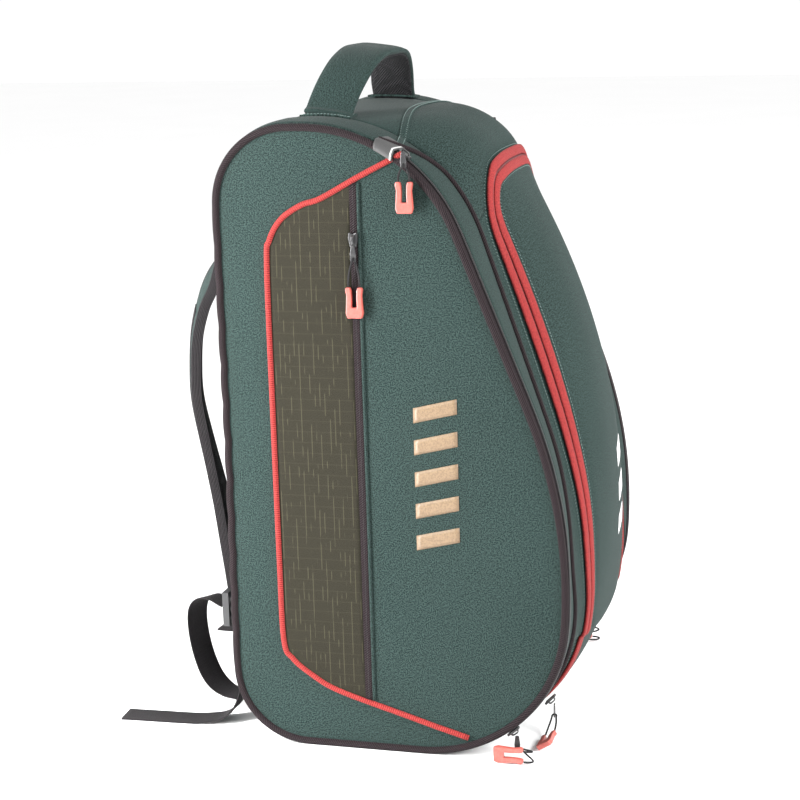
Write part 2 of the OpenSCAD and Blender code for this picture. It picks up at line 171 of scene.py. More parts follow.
def add_object(name, points, faces, smooth=True):
    mesh = bpy.data.meshes.new(name)
    mesh.from_pydata([tuple(float(c) for c in p) for p in points], [], faces)
    mesh.update()
    if smooth:
        mesh.shade_smooth()
    piece = bpy.data.objects.new(name, mesh)
    bpy.context.scene.collection.objects.link(piece)
    return piece


floor = add_object("floor", [(-9, -9, 0), (9, -9, 0), (9, 9, 0), (-9, 9, 0)], [(0, 1, 2, 3)])
floor.data.materials.append(finish_of("paper_floor", "Object", 0.9, paper))


def soft_light(name, place, aim, wide, high, power):
    lamp = bpy.data.lights.new(name, "AREA")
    lamp.shape = "RECTANGLE"
    lamp.size = wide
    lamp.size_y = high
    lamp.energy = power
    light = bpy.data.objects.new(name, lamp)
    light.location = place
    light.rotation_euler = (Vector(aim) - Vector(place)).to_track_quat("-Z", "Y").to_euler()
    bpy.context.scene.collection.objects.link(light)


soft_light("front_light", (-0.7, -2.3, 1.5), (0, -0.1, 0.3), 1.4, 1.4, 150)
soft_light("side_light", (-2.4, 0.9, 1.6), (0, 0, 0.3), 1.2, 1.2, 12)
soft_light("rim_light", (-0.6, 0.62, 0.45), (-0.16, 0.06, 0.3), 0.22, 0.9, 30)
world = bpy.data.worlds.new("studio_air")
world.use_nodes = True
world.node_tree.nodes["Background"].inputs[0].default_value = (1, 1, 1, 1)
world.node_tree.nodes["Background"].inputs[1].default_value = 1.02
bpy.context.scene.world = world
bpy.context.scene.view_settings.view_transform = "Standard"

# Outlines of the bag in its side view. Each is a closed run of circles, [behind the back face, up,
# radius] in millimetres, and a smooth curve wraps round them: the side piping, the seam piping where
# the gusset meets the middle, and the crown of the domed middle.
half_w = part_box("left_rear_panel")[0][0] / -mm
bag_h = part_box("left_gusset")[1][2] / mm
bottom_bend = [-66, 66, 66]
front_bend = [-170.9, 130, 130]
side_circles = [bottom_bend, [-66, bag_h - 66, 66], [-79, bag_h - 143, 143], [123, 155, 425], front_bend]
seam_circles = [bottom_bend, [-66, bag_h - 66, 66], [-80, bag_h - 146, 148], [133, 152, 430],
                [-170, 130, 130]]
crown_circles = [bottom_bend, [-70, bag_h + 2 - 70, 70], [-152, bag_h + 2 - 79, 79], [266, 190, 580],
                 [-189, 111, 111]]
middle = (-130, 270)


def wrapped(circles):
    """Points along the curve that wraps round circles, close together."""
    line = []
    count = len(circles)

    def join(a, b):
        gap = math.hypot(b[0] - a[0], b[1] - a[1])
        lean = math.asin(max(-1, min(1, (a[2] - b[2]) / gap)))
        return math.degrees(math.atan2(b[1] - a[1], b[0] - a[0]) + lean) - 90

    for i, (y, z, r) in enumerate(circles):
        start = join(circles[i - 1], circles[i])
        sweep = (join(circles[i], circles[(i + 1) % count]) - start) % 360
        angles = np.radians(start + np.linspace(0, sweep if sweep < 350 else 0, 60))
        line += [(y + r * math.cos(a), z + r * math.sin(a)) for a in angles]
    return np.array(line)


def reach_of(circles):
    """How far the outline is from the middle, at each whole tenth of a degree from straight down."""
    line = wrapped(circles)
    line = np.vstack([line, line[:1]])
    fine = np.concatenate([line[:-1] + (line[1:] - line[:-1]) * k / 12 for k in range(12)])
    angle = np.degrees(np.arctan2(fine[:, 1] - middle[1], fine[:, 0] - middle[0]))
    angle = (angle + 90) % 360
    order = np.argsort(angle)
    away = np.hypot(fine[:, 0] - middle[0], fine[:, 1] - middle[1])
    return np.interp(dial, angle[order], away[order], period=360)


dial = np.arange(0, 360.05, 0.1)
reach = {"side": reach_of(side_circles), "seam": reach_of(seam_circles), "crown": reach_of(crown_circles)}
dial_angle = np.radians(dial)
round_side = np.stack([reach["side"] * np.sin(dial_angle), -reach["side"] * np.cos(dial_angle)], 1)
lengths = np.concatenate([[0], np.cumsum(np.hypot(*np.diff(round_side, axis=0).T))])
girth = lengths[-1]


def turn_to(y, z):
    """Degrees round from straight down, over the back, of a point in the side view."""
    return (math.degrees(math.atan2(z - middle[1], y - middle[0])) + 90) % 360


def run_to(y, z):
    """Length along the side outline, from under the bag over its back, to the place level with y, z."""
    return float(np.interp(turn_to(y, z), dial, lengths))


def eased(value, low, high):
    t = np.clip((value - low) / (high - low), 0, 1)
    return t * t * (3 - 2 * t)


def gusset_edge(turn):
    """Half of the width between the two seam pipings: it opens towards the bottom."""
    return 108 + 17 * eased(turn, 268, 318)


def bag_skin(across, run, lift=0.0):
    """Points of the bag's outer skin, in metres, from millimetres across and along the side outline."""
    across, run = np.broadcast_arrays(np.asarray(across, float), np.asarray(run, float))
    turn = np.interp(run, lengths, dial)
    side, seam, crown = (np.interp(turn, dial, reach[key]) for key in ("side", "seam", "crown"))
    edge = gusset_edge(turn)
    aside = np.abs(across)
    t = np.clip((half_w - aside) / (half_w - edge), 0, 1)
    bulge = 2.2 * np.sin(math.pi * t) * eased(turn, 60, 120) * (1 - eased(turn, 285, 318))
    outer = side + (seam - side) * t + bulge
    boxy = 1 - eased(turn, 196, 210)
    u = np.clip(aside / edge, 0, 1)
    swell = (1 - u ** (2.6 + 0.9 * boxy)) ** (1.75 - 0.85 * boxy)
    away = np.where(aside >= edge, outer, seam + (crown - seam) * swell) + lift
    rad = np.radians(turn)
    return np.stack([across * mm, back_face + (middle[0] + away * np.sin(rad)) * mm,
                     (middle[1] - away * np.cos(rad)) * mm], -1)


def unit(v):
    return v / np.maximum(np.linalg.norm(v, axis=-1, keepdims=True), 1e-12)


def facing(grid, closed=False):
    """Outward normals of a grid of points: rows run across, columns along."""
    if closed:
        along = np.roll(grid, -1, 1) - np.roll(grid, 1, 1)
    else:
        along = np.gradient(grid, axis=1)
    return unit(np.cross(np.gradient(grid, axis=0), along))


def turned_out(piece):
    """Turns a closed piece's faces outwards, if they point in."""
    mesh = piece.data
    points = np.empty(len(mesh.vertices) * 3)
    mesh.vertices.foreach_get("co", points)
    mesh.calc_loop_triangles()
    corners = np.empty(len(mesh.loop_triangles) * 3, int)
    mesh.loop_triangles.foreach_get("vertices", corners)
    a, b, c = points.reshape(-1, 3)[corners.reshape(-1, 3)].transpose(1, 0, 2)
    if np.sum(a * np.cross(b, c)) < 0:
        mesh.flip_normals()
    return piece


def cloth_piece(name, grid, uv, thick, closed=False, flip=False, normals=None):
    """A piece of cloth of some thickness: the grid is its face, and a copy further in is its lining."""
    rows, cols = grid.shape[:2]
    out = facing(grid, closed) if normals is None else normals
    if flip:
        out = -out
    points = np.concatenate([grid.reshape(-1, 3), (grid - out * thick).reshape(-1, 3)])
    base = rows * cols
    faces = []

    def quad(a, b, c, d):
        faces.append((a, b, c, d) if not flip else (d, c, b, a))

    last = cols if closed else cols - 1
    for i in range(rows - 1):
        for j in range(last):
            k = (j + 1) % cols
            a, b, c, d = i * cols + j, (i + 1) * cols + j, (i + 1) * cols + k, i * cols + k
            quad(a, b, c, d)
            quad(base + d, base + c, base + b, base + a)
    for j in range(last):
        k = (j + 1) % cols
        end = (rows - 1) * cols
        if not closed:
            quad(base + j, j, k, base + k)
        quad(end + j, base + end + j, base + end + k, end + k)
    if closed:
        pole = list(range(cols))
        faces.append(tuple(pole if flip else reversed(pole)))
        faces.append(tuple(base + j for j in (reversed(pole) if flip else pole)))
    if not closed:
        for i in range(rows - 1):
            a, b = i * cols, (i + 1) * cols
            quad(a, base + a, base + b, b)
            quad(b + cols - 1, base + b + cols - 1, base + a + cols - 1, a + cols - 1)
    piece = add_object(name, points, faces)
    flat = np.concatenate([uv.reshape(-1, 2), uv.reshape(-1, 2)])
    layer = piece.data.uv_layers.new(name="cut")
    corner_points = np.empty(len(piece.data.loops), int)
    piece.data.loops.foreach_get("vertex_index", corner_points)
    layer.data.foreach_set("uv", flat[corner_points].ravel())
    return turned_out(piece)


def pipe_line(path, out):
    """Frames along a line of points: its direction, the way out of the surface, and the third axis."""
    along = unit(np.gradient(path, axis=0))
    up = unit(out - along * np.sum(out * along, -1, keepdims=True))
    return along, up, np.cross(along, up)


def swept(name, path, out, shape, closed=False, scale=None):
    """A section, [across, outwards] in metres, carried along a path as one closed solid."""
    path = np.asarray(path, float)
    out = np.broadcast_to(np.asarray(out, float), path.shape)
    if closed:
        ring = np.vstack([path[-1:], path, path[:1]])
        along, up, wide = (v[1:-1] for v in pipe_line(ring, np.vstack([out[-1:], out, out[:1]])))
    else:
        along, up, wide = pipe_line(path, out)
    shape = np.asarray(shape, float)
    count, sides = len(path), len(shape)
    size = np.ones(count) if scale is None else np.asarray(scale)
    points = (path[:, None] + size[:, None, None] * (wide[:, None] * shape[None, :, :1]
                                                     + up[:, None] * shape[None, :, 1:]))
    faces = []
    for i in range(count if closed else count - 1):
        n = (i + 1) % count
        for j in range(sides):
            k = (j + 1) % sides
            faces.append((i * sides + j, i * sides + k, n * sides + k, n * sides + j))
    if not closed:
        faces.append(tuple(reversed(range(sides))))
        faces.append(tuple((count - 1) * sides + j for j in range(sides)))
    piece = add_object(name, points.reshape(-1, 3), faces)
    step = np.concatenate([[0], np.cumsum(np.linalg.norm(np.diff(path, axis=0), axis=1))])
    section_edges = np.diff(np.vstack([shape, shape[:1]]), axis=0)
    girdle = np.concatenate([[0], np.cumsum(np.linalg.norm(section_edges, axis=1))])
    layer = piece.data.uv_layers.new(name="cut")
    step = np.append(step, 2 * step[-1] - step[-2])
    for face in piece.data.polygons:
        for place, loop in enumerate(face.loop_indices):
            vertex = piece.data.loops[loop].vertex_index
            i, j = divmod(vertex, sides)
            if face.index < (count if closed else count - 1) * sides:
                i = face.index // sides + (1 if place > 1 else 0)
                j = face.index % sides + (1 if place in (1, 2) else 0)
            layer.data[loop].uv = (step[i], girdle[j])
    return turned_out(piece)


def round_section(radius, sides=12):
    turn = np.linspace(0, 2 * math.pi, sides, endpoint=False)
    return np.stack([radius * np.cos(turn), radius * np.sin(turn)], -1)


def oblong(wide, high, bend, steps=3):
    """A flat section with rounded corners."""
    line = []
    for k, (sx, sy) in enumerate([(1, 1), (-1, 1), (-1, -1), (1, -1)]):
        for a in np.radians(90 * k + np.linspace(0, 90, steps + 1)):
            line.append((sx * (wide / 2 - bend) + bend * math.cos(a),
                         sy * (high / 2 - bend) + bend * math.sin(a)))
    return line


# Main cloth: a plain weave of two yarns, one pale and one dark green, which reads as a fine grain. It
# is lined and coated behind, and has a dry, slightly silky face.
def green_weave(place):
    warp = (place.split(0) * (1 / (1.15 * mm))).wave()
    weft = (place.split(1) * (1 / (1.15 * mm))).wave()
    cross = warp * weft
    grain = place.noise(1050, 2, 0.75)
    fleck = place.noise(520, 2, 0.7)
    drift = place.noise(9, 2)
    mask = (grain * 0.75 + fleck * 0.25 + cross * 0.03).over(0.44, 0.56)
    pale = (mask + (drift - 0.5) * 0.3).over(0, 1)
    return pale.dye((0.003, 0.008, 0.007), (0.024, 0.042, 0.038)), cross * 0.5 + grain * 0.7, 0.00012, fleck


green = finish_of("green_cloth", "UV", 0.8, green_weave, sheen=0.04)


def placed(piece, material, body, slot, *nodes):
    """Gives a finished piece its material and body, and hides the CAD nodes that it stands for."""
    piece.data.materials.clear()
    piece.data.materials.append(material)
    if body:
        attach(piece, body)
    if nodes:
        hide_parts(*nodes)
    return piece


def folding(piece, material, side, slot, *nodes):
    """Gives a piece sewn to a whole side panel its material, bakes its place into its mesh, and hides the CAD
    nodes that it stands for.
    """
    piece.data.materials.clear()
    piece.data.materials.append(material)
    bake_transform(piece)
    if nodes:
        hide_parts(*nodes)
    return piece


fold_top = Vector((0, back_face - 150 * mm, (bag_h - 8) * mm))
fold_low = Vector((0, back_face - 232 * mm, 18 * mm))
fold_out = (fold_top - fold_low).cross(Vector((-1, 0, 0))).normalized()
if fold_out.y > 0:
    fold_out = -fold_out

# Side panels: one flat piece of the main cloth over thin foam on each side, inside its black piping.
# Each is sewn down along its back, and its front part folds outwards when the racket zip is undone.
piping_r = 3.2
runs = np.linspace(0, girth, 361)[:-1]
sides = {"left": -1, "right": 1}


def on_panel(side, y, z, lift=0.0):
    """Points on a side panel's puffed face, from millimetres in the side view."""
    y, z = np.asarray(y, float), np.asarray(z, float)
    turn = (np.degrees(np.arctan2(z - middle[1], y - middle[0])) + 90) % 360
    part = np.hypot(z - middle[1], y - middle[0]) / np.interp(turn, dial, reach["side"])
    puff = 1.8 * (1 - np.clip(part, 0, 1) ** 5) + panel_waves(y, z) * (1 - np.clip(part, 0, 1) ** 8)
    return np.stack([side * (half_w - 0.6 + puff + lift) * mm * np.ones_like(y), back_face + y * mm,
                     z * mm], -1)


def panel_waves(y, z):
    """Shallow creases: one below the shoulder, and some that run up from the lower corners."""
    return (0.5 * np.sin((y * 0.6 + z) / 61.0) * np.sin((y - 0.4 * z) / 83.0 + 1)
            + 0.9 * np.exp(-((y + 205 + (z - 60) * 0.55) / 14) ** 2) * np.exp(-((z - 55) / 60) ** 2))


for name, side in sides.items():
    turn = np.interp(runs, lengths, dial)
    rim = np.interp(turn, dial, reach["side"]) - piping_r
    parts = np.concatenate([[0.004], np.linspace(0.04, 0.9, 22), np.linspace(0.915, 0.995, 9)])
    away = parts[:, None] * rim[None, :]
    y = middle[0] + away * np.sin(np.radians(turn))
    z = middle[1] - away * np.cos(np.radians(turn))
    grid = on_panel(side, y, z)
    panel = cloth_piece(name + "_side_panel", grid, np.stack([y, z], -1) * mm, 3 * mm,
                        closed=True, flip=side > 0, normals=np.broadcast_to([-1.0, 0, 0], grid.shape))
    folding(panel, green, name, "green_fabric", name + "_rear_panel", name + "_flap")

# Black edge piping: knitted tape folded round a cord and sewn into the edge of each side panel. The
# thinner seam piping joins each gusset to the middle, from the label down to the front corner.


def knit(place):
    ribs = ((place.split(0) * 1.0 + place.split(1) * 0.8) * (1 / (2.1 * mm))).wave()
    loops = (place.split(1) * (1 / (1.3 * mm))).wave()
    fuzz = place.noise(900, 2)
    mask = (ribs * 0.3 + loops * 0.15 + fuzz).over(0.2, 0.9)
    colour = mask.dye((0.003, 0.002, 0.0025), (0.026, 0.018, 0.020))
    return colour, ribs * 0.5 + loops * 0.3 + fuzz * 0.5, 0.0003, fuzz


black_piping = finish_of("black_piping", "UV", 0.85, knit, sheen=0.02)


def side_line(side, across, inset, run):
    """Points at a distance inside the side outline, at a place across the bag."""
    turn = np.radians(np.interp(run, lengths, dial))
    away = np.interp(run, lengths, reach["side"]) - inset
    return np.stack([side * across * mm * np.ones_like(turn),
                     back_face + (middle[0] + away * np.sin(turn)) * mm,
                     (middle[1] - away * np.cos(turn)) * mm], -1)


for name, side in sides.items():
    line = side_line(side, half_w - 0.4, piping_r, runs)
    edge = swept(name + "_edge_piping", line, (side, 0, 0), round_section(piping_r * mm), closed=True)
    folding(edge, black_piping, name, "black_piping", name + "_flap_piping")
    if name == "left":
        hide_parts("rear_pipings")

label_run = run_to(-145, 540)
seam_runs = np.linspace(label_run, run_to(-215, 8), 150)


def seam_across(run):
    """The seam piping starts beside the edge piping, under the label, and swings inwards from it."""
    turn = np.interp(run, lengths, dial)
    swung = 1 - eased(run, label_run - 6, label_run + 62)
    return gusset_edge(turn) + (half_w - 7 - gusset_edge(turn)) * swung


for name, side in sides.items():
    line = bag_skin(side * seam_across(seam_runs), seam_runs, 1.2)
    out = bag_skin(side * seam_across(seam_runs), seam_runs, 6) - line
    seam = swept(name + "_seam_piping", line, out, round_section(2.3 * mm, 10))
    placed(seam, black_piping, "bag", "black_piping")
    if name == "left":
        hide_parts("seam_pipings")

# Gussets: a band of the main cloth round each racket compartment, from the zip to the seam piping.
# Behind the label there is no seam, and the top cloth runs straight across to the edge piping.
gusset_runs = np.linspace(0, girth, 301)
for name, side in sides.items():
    x = np.linspace(0, 1, 9)[:, None]
    inner = gusset_edge(np.interp(gusset_runs, lengths, dial))[None, :]
    beside_zip = (gusset_runs > run_to(-150, 542)) & (gusset_runs < run_to(-206, 8))
    outer = np.where(beside_zip, half_w - 11, half_w - 3)[None, :]
    across = outer + (inner - outer) * x
    s = np.broadcast_to(gusset_runs, across.shape)
    grid = bag_skin(side * across, s)
    gusset = cloth_piece(name + "_gusset_skin", grid, np.stack([across, s], -1) * mm, 3 * mm, flip=side < 0)
    placed(gusset, green, "bag", "green_fabric", name + "_gusset")

# Middle: the top, the two bands beside the front zip, and the base, all of the main cloth.
zip_mid = 83
tape_half = 8
zip_top = run_to(-236, 531)
zip_foot = run_to(-262, 26)
door_edge = 72
back_top = run_to(0, bag_h - 66)
edge_at = lambda run: gusset_edge(np.interp(run, lengths, dial))
crown_runs = np.linspace(back_top, zip_top + 3 + tape_half, 60)
x = np.linspace(-1, 1, 61)[:, None]
across = x * edge_at(crown_runs)[None, :]
s = np.broadcast_to(crown_runs, across.shape)
top = cloth_piece("top_skin", bag_skin(across, s), np.stack([across, s], -1) * mm, 3 * mm, flip=True)
placed(top, green, "bag", "green_fabric", "center_shell", "handle_bases")
for name, side in sides.items():
    band_runs = np.linspace(zip_top + 3 + tape_half, zip_foot, 110)
    x = np.linspace(0, 1, 12)[:, None]
    across = side * (edge_at(band_runs)[None, :] + (door_edge - edge_at(band_runs)[None, :]) * x)
    s = np.broadcast_to(band_runs, across.shape)
    band = cloth_piece(name + "_front_band", bag_skin(across, s), np.stack([across, s], -1) * mm, 3 * mm,
                       flip=side < 0)
    placed(band, green, "bag", "green_fabric")
base_runs = np.linspace(zip_foot - 4, girth, 24)
x = np.linspace(-1, 1, 41)[:, None]
across = x * edge_at(base_runs)[None, :]
s = np.broadcast_to(base_runs, across.shape)
base_front = cloth_piece("base_front_skin", bag_skin(across, s), np.stack([across, s], -1) * mm, 3 * mm,
                         flip=True)
placed(base_front, green, "bag", "green_fabric")
base_runs = np.linspace(0, run_to(0, 66), 24)
across = x * edge_at(base_runs)[None, :]
s = np.broadcast_to(base_runs, across.shape)
base_back = cloth_piece("base_back_skin", bag_skin(across, s), np.stack([across, s], -1) * mm, 3 * mm,
                        flip=True)
placed(base_back, green, "bag", "green_fabric")

# Front zip: two coral red woven tapes with a dark red coil between them, in a tall arch. The outer
# tape is sewn to the body, and the inner one to the front panel.
arch_r = 25


def arch(offset):
    """The front zip's line, across and along, at a distance outside its middle."""
    half, top_run, r = zip_mid + offset, zip_top - offset, arch_r + offset
    turn = np.radians(np.linspace(180, 90, 14))
    up = np.linspace(zip_foot, top_run + r, 120)
    left = np.stack([np.full_like(up, -half), up], -1)
    bend = np.stack([-half + r + r * np.cos(turn), top_run + r - r * np.sin(turn)], -1)
    cross = np.stack([np.linspace(-half + r, half - r, 40), np.full(40, top_run)], -1)
    right = np.concatenate([left, bend[1:]]) * [-1, 1]
    return np.concatenate([left, bend[1:], cross[1:-1], right[::-1]])


def tape_weave(place):
    twill = ((place.split(0) + place.split(1)) * (1 / (1.5 * mm))).wave()
    fuzz = place.noise(700, 2)
    mask = (twill * 0.2 + fuzz).over(0.25, 0.8)
    return mask.dye((0.11, 0.009, 0.010), (0.27, 0.030, 0.028)), twill * 0.5 + fuzz, 0.0002, fuzz


def coil_dark(place):
    fuzz = place.noise(500, 2)
    return fuzz.dye((0.045, 0.006, 0.008), (0.13, 0.016, 0.018)), fuzz, 0.0001, None


red_tape = finish_of("red_zip_tape", "UV", 0.78, tape_weave, sheen=0.05)
red_coil = finish_of("red_zip_coil", "Object", 0.45, coil_dark)


def front_hinged(piece, *nodes):
    """Bakes the place of a piece that belongs to the front panel into its mesh, and hides the CAD nodes that
    it stands for.
    """
    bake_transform(piece)
    if nodes:
        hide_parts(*nodes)


def arch_band(name, inner, outer, lift, thick, body, material, slot, *nodes):
    lines = [arch(inner + (outer - inner) * k) for k in np.linspace(0, 1, 6)]
    flat = np.stack(lines)
    bulge = lift + 0.7 * np.sin(math.pi * np.linspace(0, 1, 6))[:, None]
    grid = bag_skin(flat[..., 0], flat[..., 1], bulge)
    along = np.concatenate([[0], np.cumsum(np.linalg.norm(np.diff(grid[0], axis=0), axis=1))])
    wide = np.linspace(0, (outer - inner) * mm, 6)
    uv = np.stack(np.meshgrid(wide, along, indexing="ij"), -1)
    piece = cloth_piece(name, grid, uv, thick, flip=False)
    if body == "bag":
        return placed(piece, material, body, slot, *nodes)
    front_hinged(piece, *nodes)
    return placed(piece, material, None, slot)


arch_band("front_zip_outer_tape", 1.2, tape_half, 1.6, 2.2 * mm, "bag", red_tape, "red_tape",
          "front_zip_frame")
arch_band("front_zip_inner_tape", -tape_half, -1.2, 1.6, 2.2 * mm, "front_door", red_tape, "red_tape",
          "front_zip_flap")


def row_tree(name, material):
    """Geometry Nodes: sets one small oval every so often along a line, turned with it."""
    tree = bpy.data.node_groups.new(name, "GeometryNodeTree")
    tree.interface.new_socket("Line", in_out="INPUT", socket_type="NodeSocketGeometry")
    for key in ("Spacing", "Length", "Width", "Height"):
        tree.interface.new_socket(key, in_out="INPUT", socket_type="NodeSocketFloat")
    tree.interface.new_socket("Row", in_out="OUTPUT", socket_type="NodeSocketGeometry")
    new, link = tree.nodes.new, tree.links.new
    given, result = new("NodeGroupInput"), new("NodeGroupOutput")
    curve = new("GeometryNodeMeshToCurve")
    spread = new("GeometryNodeResampleCurve")
    put = new("GeometryNodeInstanceOnPoints")
    bead, size = new("GeometryNodeMeshUVSphere"), new("ShaderNodeCombineXYZ")
    bead.inputs["Segments"].default_value = 8
    bead.inputs["Rings"].default_value = 5
    bead.inputs["Radius"].default_value = 0.5
    tangent = new("GeometryNodeInputTangent")
    up = new("GeometryNodeInputNamedAttribute")
    turn = new("FunctionNodeAxesToRotation")
    up.data_type = "FLOAT_VECTOR"
    up.inputs["Name"].default_value = "up"
    turn.primary_axis, turn.secondary_axis = "Z", "X"
    whole, paint = new("GeometryNodeRealizeInstances"), new("GeometryNodeSetMaterial")
    paint.inputs["Material"].default_value = material
    smooth = new("GeometryNodeSetShadeSmooth")
    spread.mode = "LENGTH"
    link(given.outputs["Line"], curve.inputs[0])
    link(curve.outputs[0], spread.inputs["Curve"])
    link(given.outputs["Spacing"], spread.inputs["Length"])
    link(spread.outputs[0], put.inputs["Points"])
    link(bead.outputs[0], put.inputs["Instance"])
    link(up.outputs["Attribute"], turn.inputs[0])
    link(tangent.outputs[0], turn.inputs[1])
    link(turn.outputs[0], put.inputs["Rotation"])
    for key, place in (("Length", 0), ("Width", 1), ("Height", 2)):
        link(given.outputs[key], size.inputs[place])
    link(size.outputs[0], put.inputs["Scale"])
    link(put.outputs[0], whole.inputs[0])
    link(whole.outputs[0], smooth.inputs[0])
    link(smooth.outputs[0], paint.inputs[0])
    link(paint.outputs[0], result.inputs["Row"])
    return tree


def row_of(name, tree, lines, ups, spacing, length, width, height):
    """A row of stitches or teeth along lines on the bag, as one plain mesh."""
    points, edges, normals = [], [], []
    for line, up in zip(lines, ups):
        start = len(points)
        points += [tuple(map(float, p)) for p in line]
        normals.append(np.broadcast_to(up, np.shape(line)))
        edges += [(start + i, start + i + 1) for i in range(len(line) - 1)]
    mesh = bpy.data.meshes.new(name + "_line")
    mesh.from_pydata(points, edges, [])
    up_values = mesh.attributes.new("up", "FLOAT_VECTOR", "POINT").data
    up_values.foreach_set("vector", np.concatenate(normals).ravel())
    guide = bpy.data.objects.new(name + "_line", mesh)
    bpy.context.scene.collection.objects.link(guide)
    change = guide.modifiers.new("row", "NODES")
    change.node_group = tree
    values = {"Spacing": spacing, "Length": length, "Width": width, "Height": height}
    for item in tree.interface.items_tree:
        if item.in_out == "INPUT" and item.name in values:
            change[item.identifier] = values[item.name] * mm
    ready = guide.evaluated_get(bpy.context.evaluated_depsgraph_get())
    row = bpy.data.objects.new(name, bpy.data.meshes.new_from_object(ready))
    bpy.context.scene.collection.objects.link(row)
    bpy.data.objects.remove(guide)
    return row


def skin_line(across, run, lift):
    """A line on the skin and the way out of it at each point."""
    line = bag_skin(across, run, lift)
    return line, unit(bag_skin(across, run, lift + 5) - line)


red_teeth = row_tree("red_teeth", red_coil)
flat = arch(0)
for name, offset, body in (("outer", 0.75, "bag"), ("inner", -0.75, "front_door")):
    line, out = skin_line(flat[:, 0], flat[:, 1], 2.0)
    sideways = np.cross(unit(np.gradient(line, axis=0)), out)
    teeth = row_of(f"front_zip_{name}_coil", red_teeth, [line - sideways * offset * mm], [out], 1.7, 1.5,
                   2.3, 1.6)
    if body == "bag":
        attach(teeth, body)
    else:
        front_hinged(teeth)

# Front panel: a domed piece of the main cloth over foam, which the arched zip lets go. It hinges on
# the cloth below it.
panel_half = zip_mid - tape_half + 2
panel_top = zip_top + tape_half - 2
panel_runs = np.concatenate([panel_top + np.linspace(0, 18, 10),
                             np.linspace(panel_top + 20, zip_foot + 8, 110)])
corner_in = arch_r - tape_half + 2
drop = np.clip(corner_in - (panel_runs - panel_top), 0, corner_in)
limit = panel_half - corner_in + np.sqrt(corner_in ** 2 - drop ** 2)
x = np.linspace(-1, 1, 49)[:, None]
across = x * limit[None, :]
s = np.broadcast_to(panel_runs, across.shape)
domed = 1.4 + 2.0 * eased(limit[None, :] - np.abs(across), 0, 16)
grid = bag_skin(across, s, domed)
front = cloth_piece("front_panel_skin", grid, np.stack([across, s], -1) * mm, 4 * mm, flip=True)
front.data.materials.append(green)
front_hinged(front, "front_panel")

# Racket zips: a black coil on woven tape between each gusset and the edge piping, from the label down
# to the lower front corner.
def lacquer(place):
    wear = place.noise(260, 3)
    return wear.over(0.45, 0.8).dye((0.011, 0.011, 0.012), (0.030, 0.029, 0.029)), wear, 0.00004, wear


zip_black = finish_of("black_zip_coil", "Object", 0.42, lacquer)
black_teeth = row_tree("black_teeth", zip_black)
racket_runs = np.linspace(run_to(-150, 542), run_to(-206, 8), 170)
for name, side in sides.items():
    x = np.linspace(half_w - 11.5, half_w - 3, 6)[:, None]
    across = side * x * np.ones(len(racket_runs))[None, :]
    s = np.broadcast_to(racket_runs, across.shape)
    strip_face = bag_skin(across, s, -0.6)
    tape = cloth_piece(name + "_racket_zip_tape", strip_face, np.stack([across, s], -1) * mm, 1.6 * mm)
    placed(tape, black_piping, "bag", "zip_coil")
    if name == "left":
        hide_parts("racket_zips")
    line, out = skin_line(np.full_like(racket_runs, side * (half_w - 7.2)), racket_runs, 0.5)
    teeth = row_of(name + "_racket_zip_coil", black_teeth, [line], [out], 1.6, 1.3, 4.2, 1.7)
    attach(teeth, "bag")


# Red piping on each side: ribbed tape round a cord, sewn along the edge of the olive inlay and on down
# to the front corner. It is all on the part of the panel that stays when the front part folds.
def smooth_line(points, steps=10):
    """A smooth curve through given points."""
    p = np.asarray(points, float)
    p = np.vstack([2 * p[0] - p[1], p, 2 * p[-1] - p[-2]])
    t = np.linspace(0, 1, steps, endpoint=False)[:, None]
    line = []
    for a, b, c, d in zip(p, p[1:], p[2:], p[3:]):
        line.append(0.5 * (2 * b + (c - a) * t + (2 * a - 5 * b + 4 * c - d) * t ** 2
                           + (3 * b - a - 3 * c + d) * t ** 3))
    return np.vstack(line + [p[-2:-1]])


def red_rib(place):
    ribs = (place.split(0) * (1 / (1.9 * mm))).wave()
    fuzz = place.noise(800, 2)
    mask = (ribs * 0.25 + fuzz).over(0.2, 0.85)
    return mask.dye((0.12, 0.010, 0.010), (0.30, 0.036, 0.032)), ribs * 0.5 + fuzz * 0.4, 0.00025, fuzz


red_cloth = finish_of("red_piping", "UV", 0.75, red_rib, sheen=0.04)
trim = smooth_line([(-167, 525), (-131, 507), (-96, 488), (-78, 482), (-60, 470), (-49, 452), (-46, 430),
                    (-46, 300), (-46, 169), (-47, 97), (-55, 80), (-74, 65), (-97, 53), (-156, 35),
                    (-213, 18)])
for name, side in sides.items():
    line = on_panel(side, trim[:, 0], trim[:, 1], 0.7)
    rib = swept(name + "_red_piping", line, (side, 0, 0), round_section(2.5 * mm, 10))
    folding(rib, red_cloth, name, "red_piping")
    if name == "left":
        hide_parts("red_pipings")


# Olive inlays: a dobby cloth with short raised dashes up it and faint lines across, between the red
# piping and the pocket's zip.
def dobby(place):
    up, along = place.split(1), place.split(0)
    column = (along * (1 / (4.3 * mm))).wave()
    broken = place.scaled(230, 55, 1).noise(1, 1)
    dash = column.over(0.72, 0.95) * broken.over(0.5, 0.56)
    faint = (up * (1 / (9.5 * mm))).wave().over(0.9, 1.0)
    grain = place.noise(1700, 2, 0.7)
    mask = grain.over(0.3, 0.75) * 0.55 + dash * 0.5 + faint * 0.12
    return mask.dye((0.005, 0.0045, 0.003), (0.044, 0.040, 0.024)), grain + dash * 1.2, 0.00012, grain


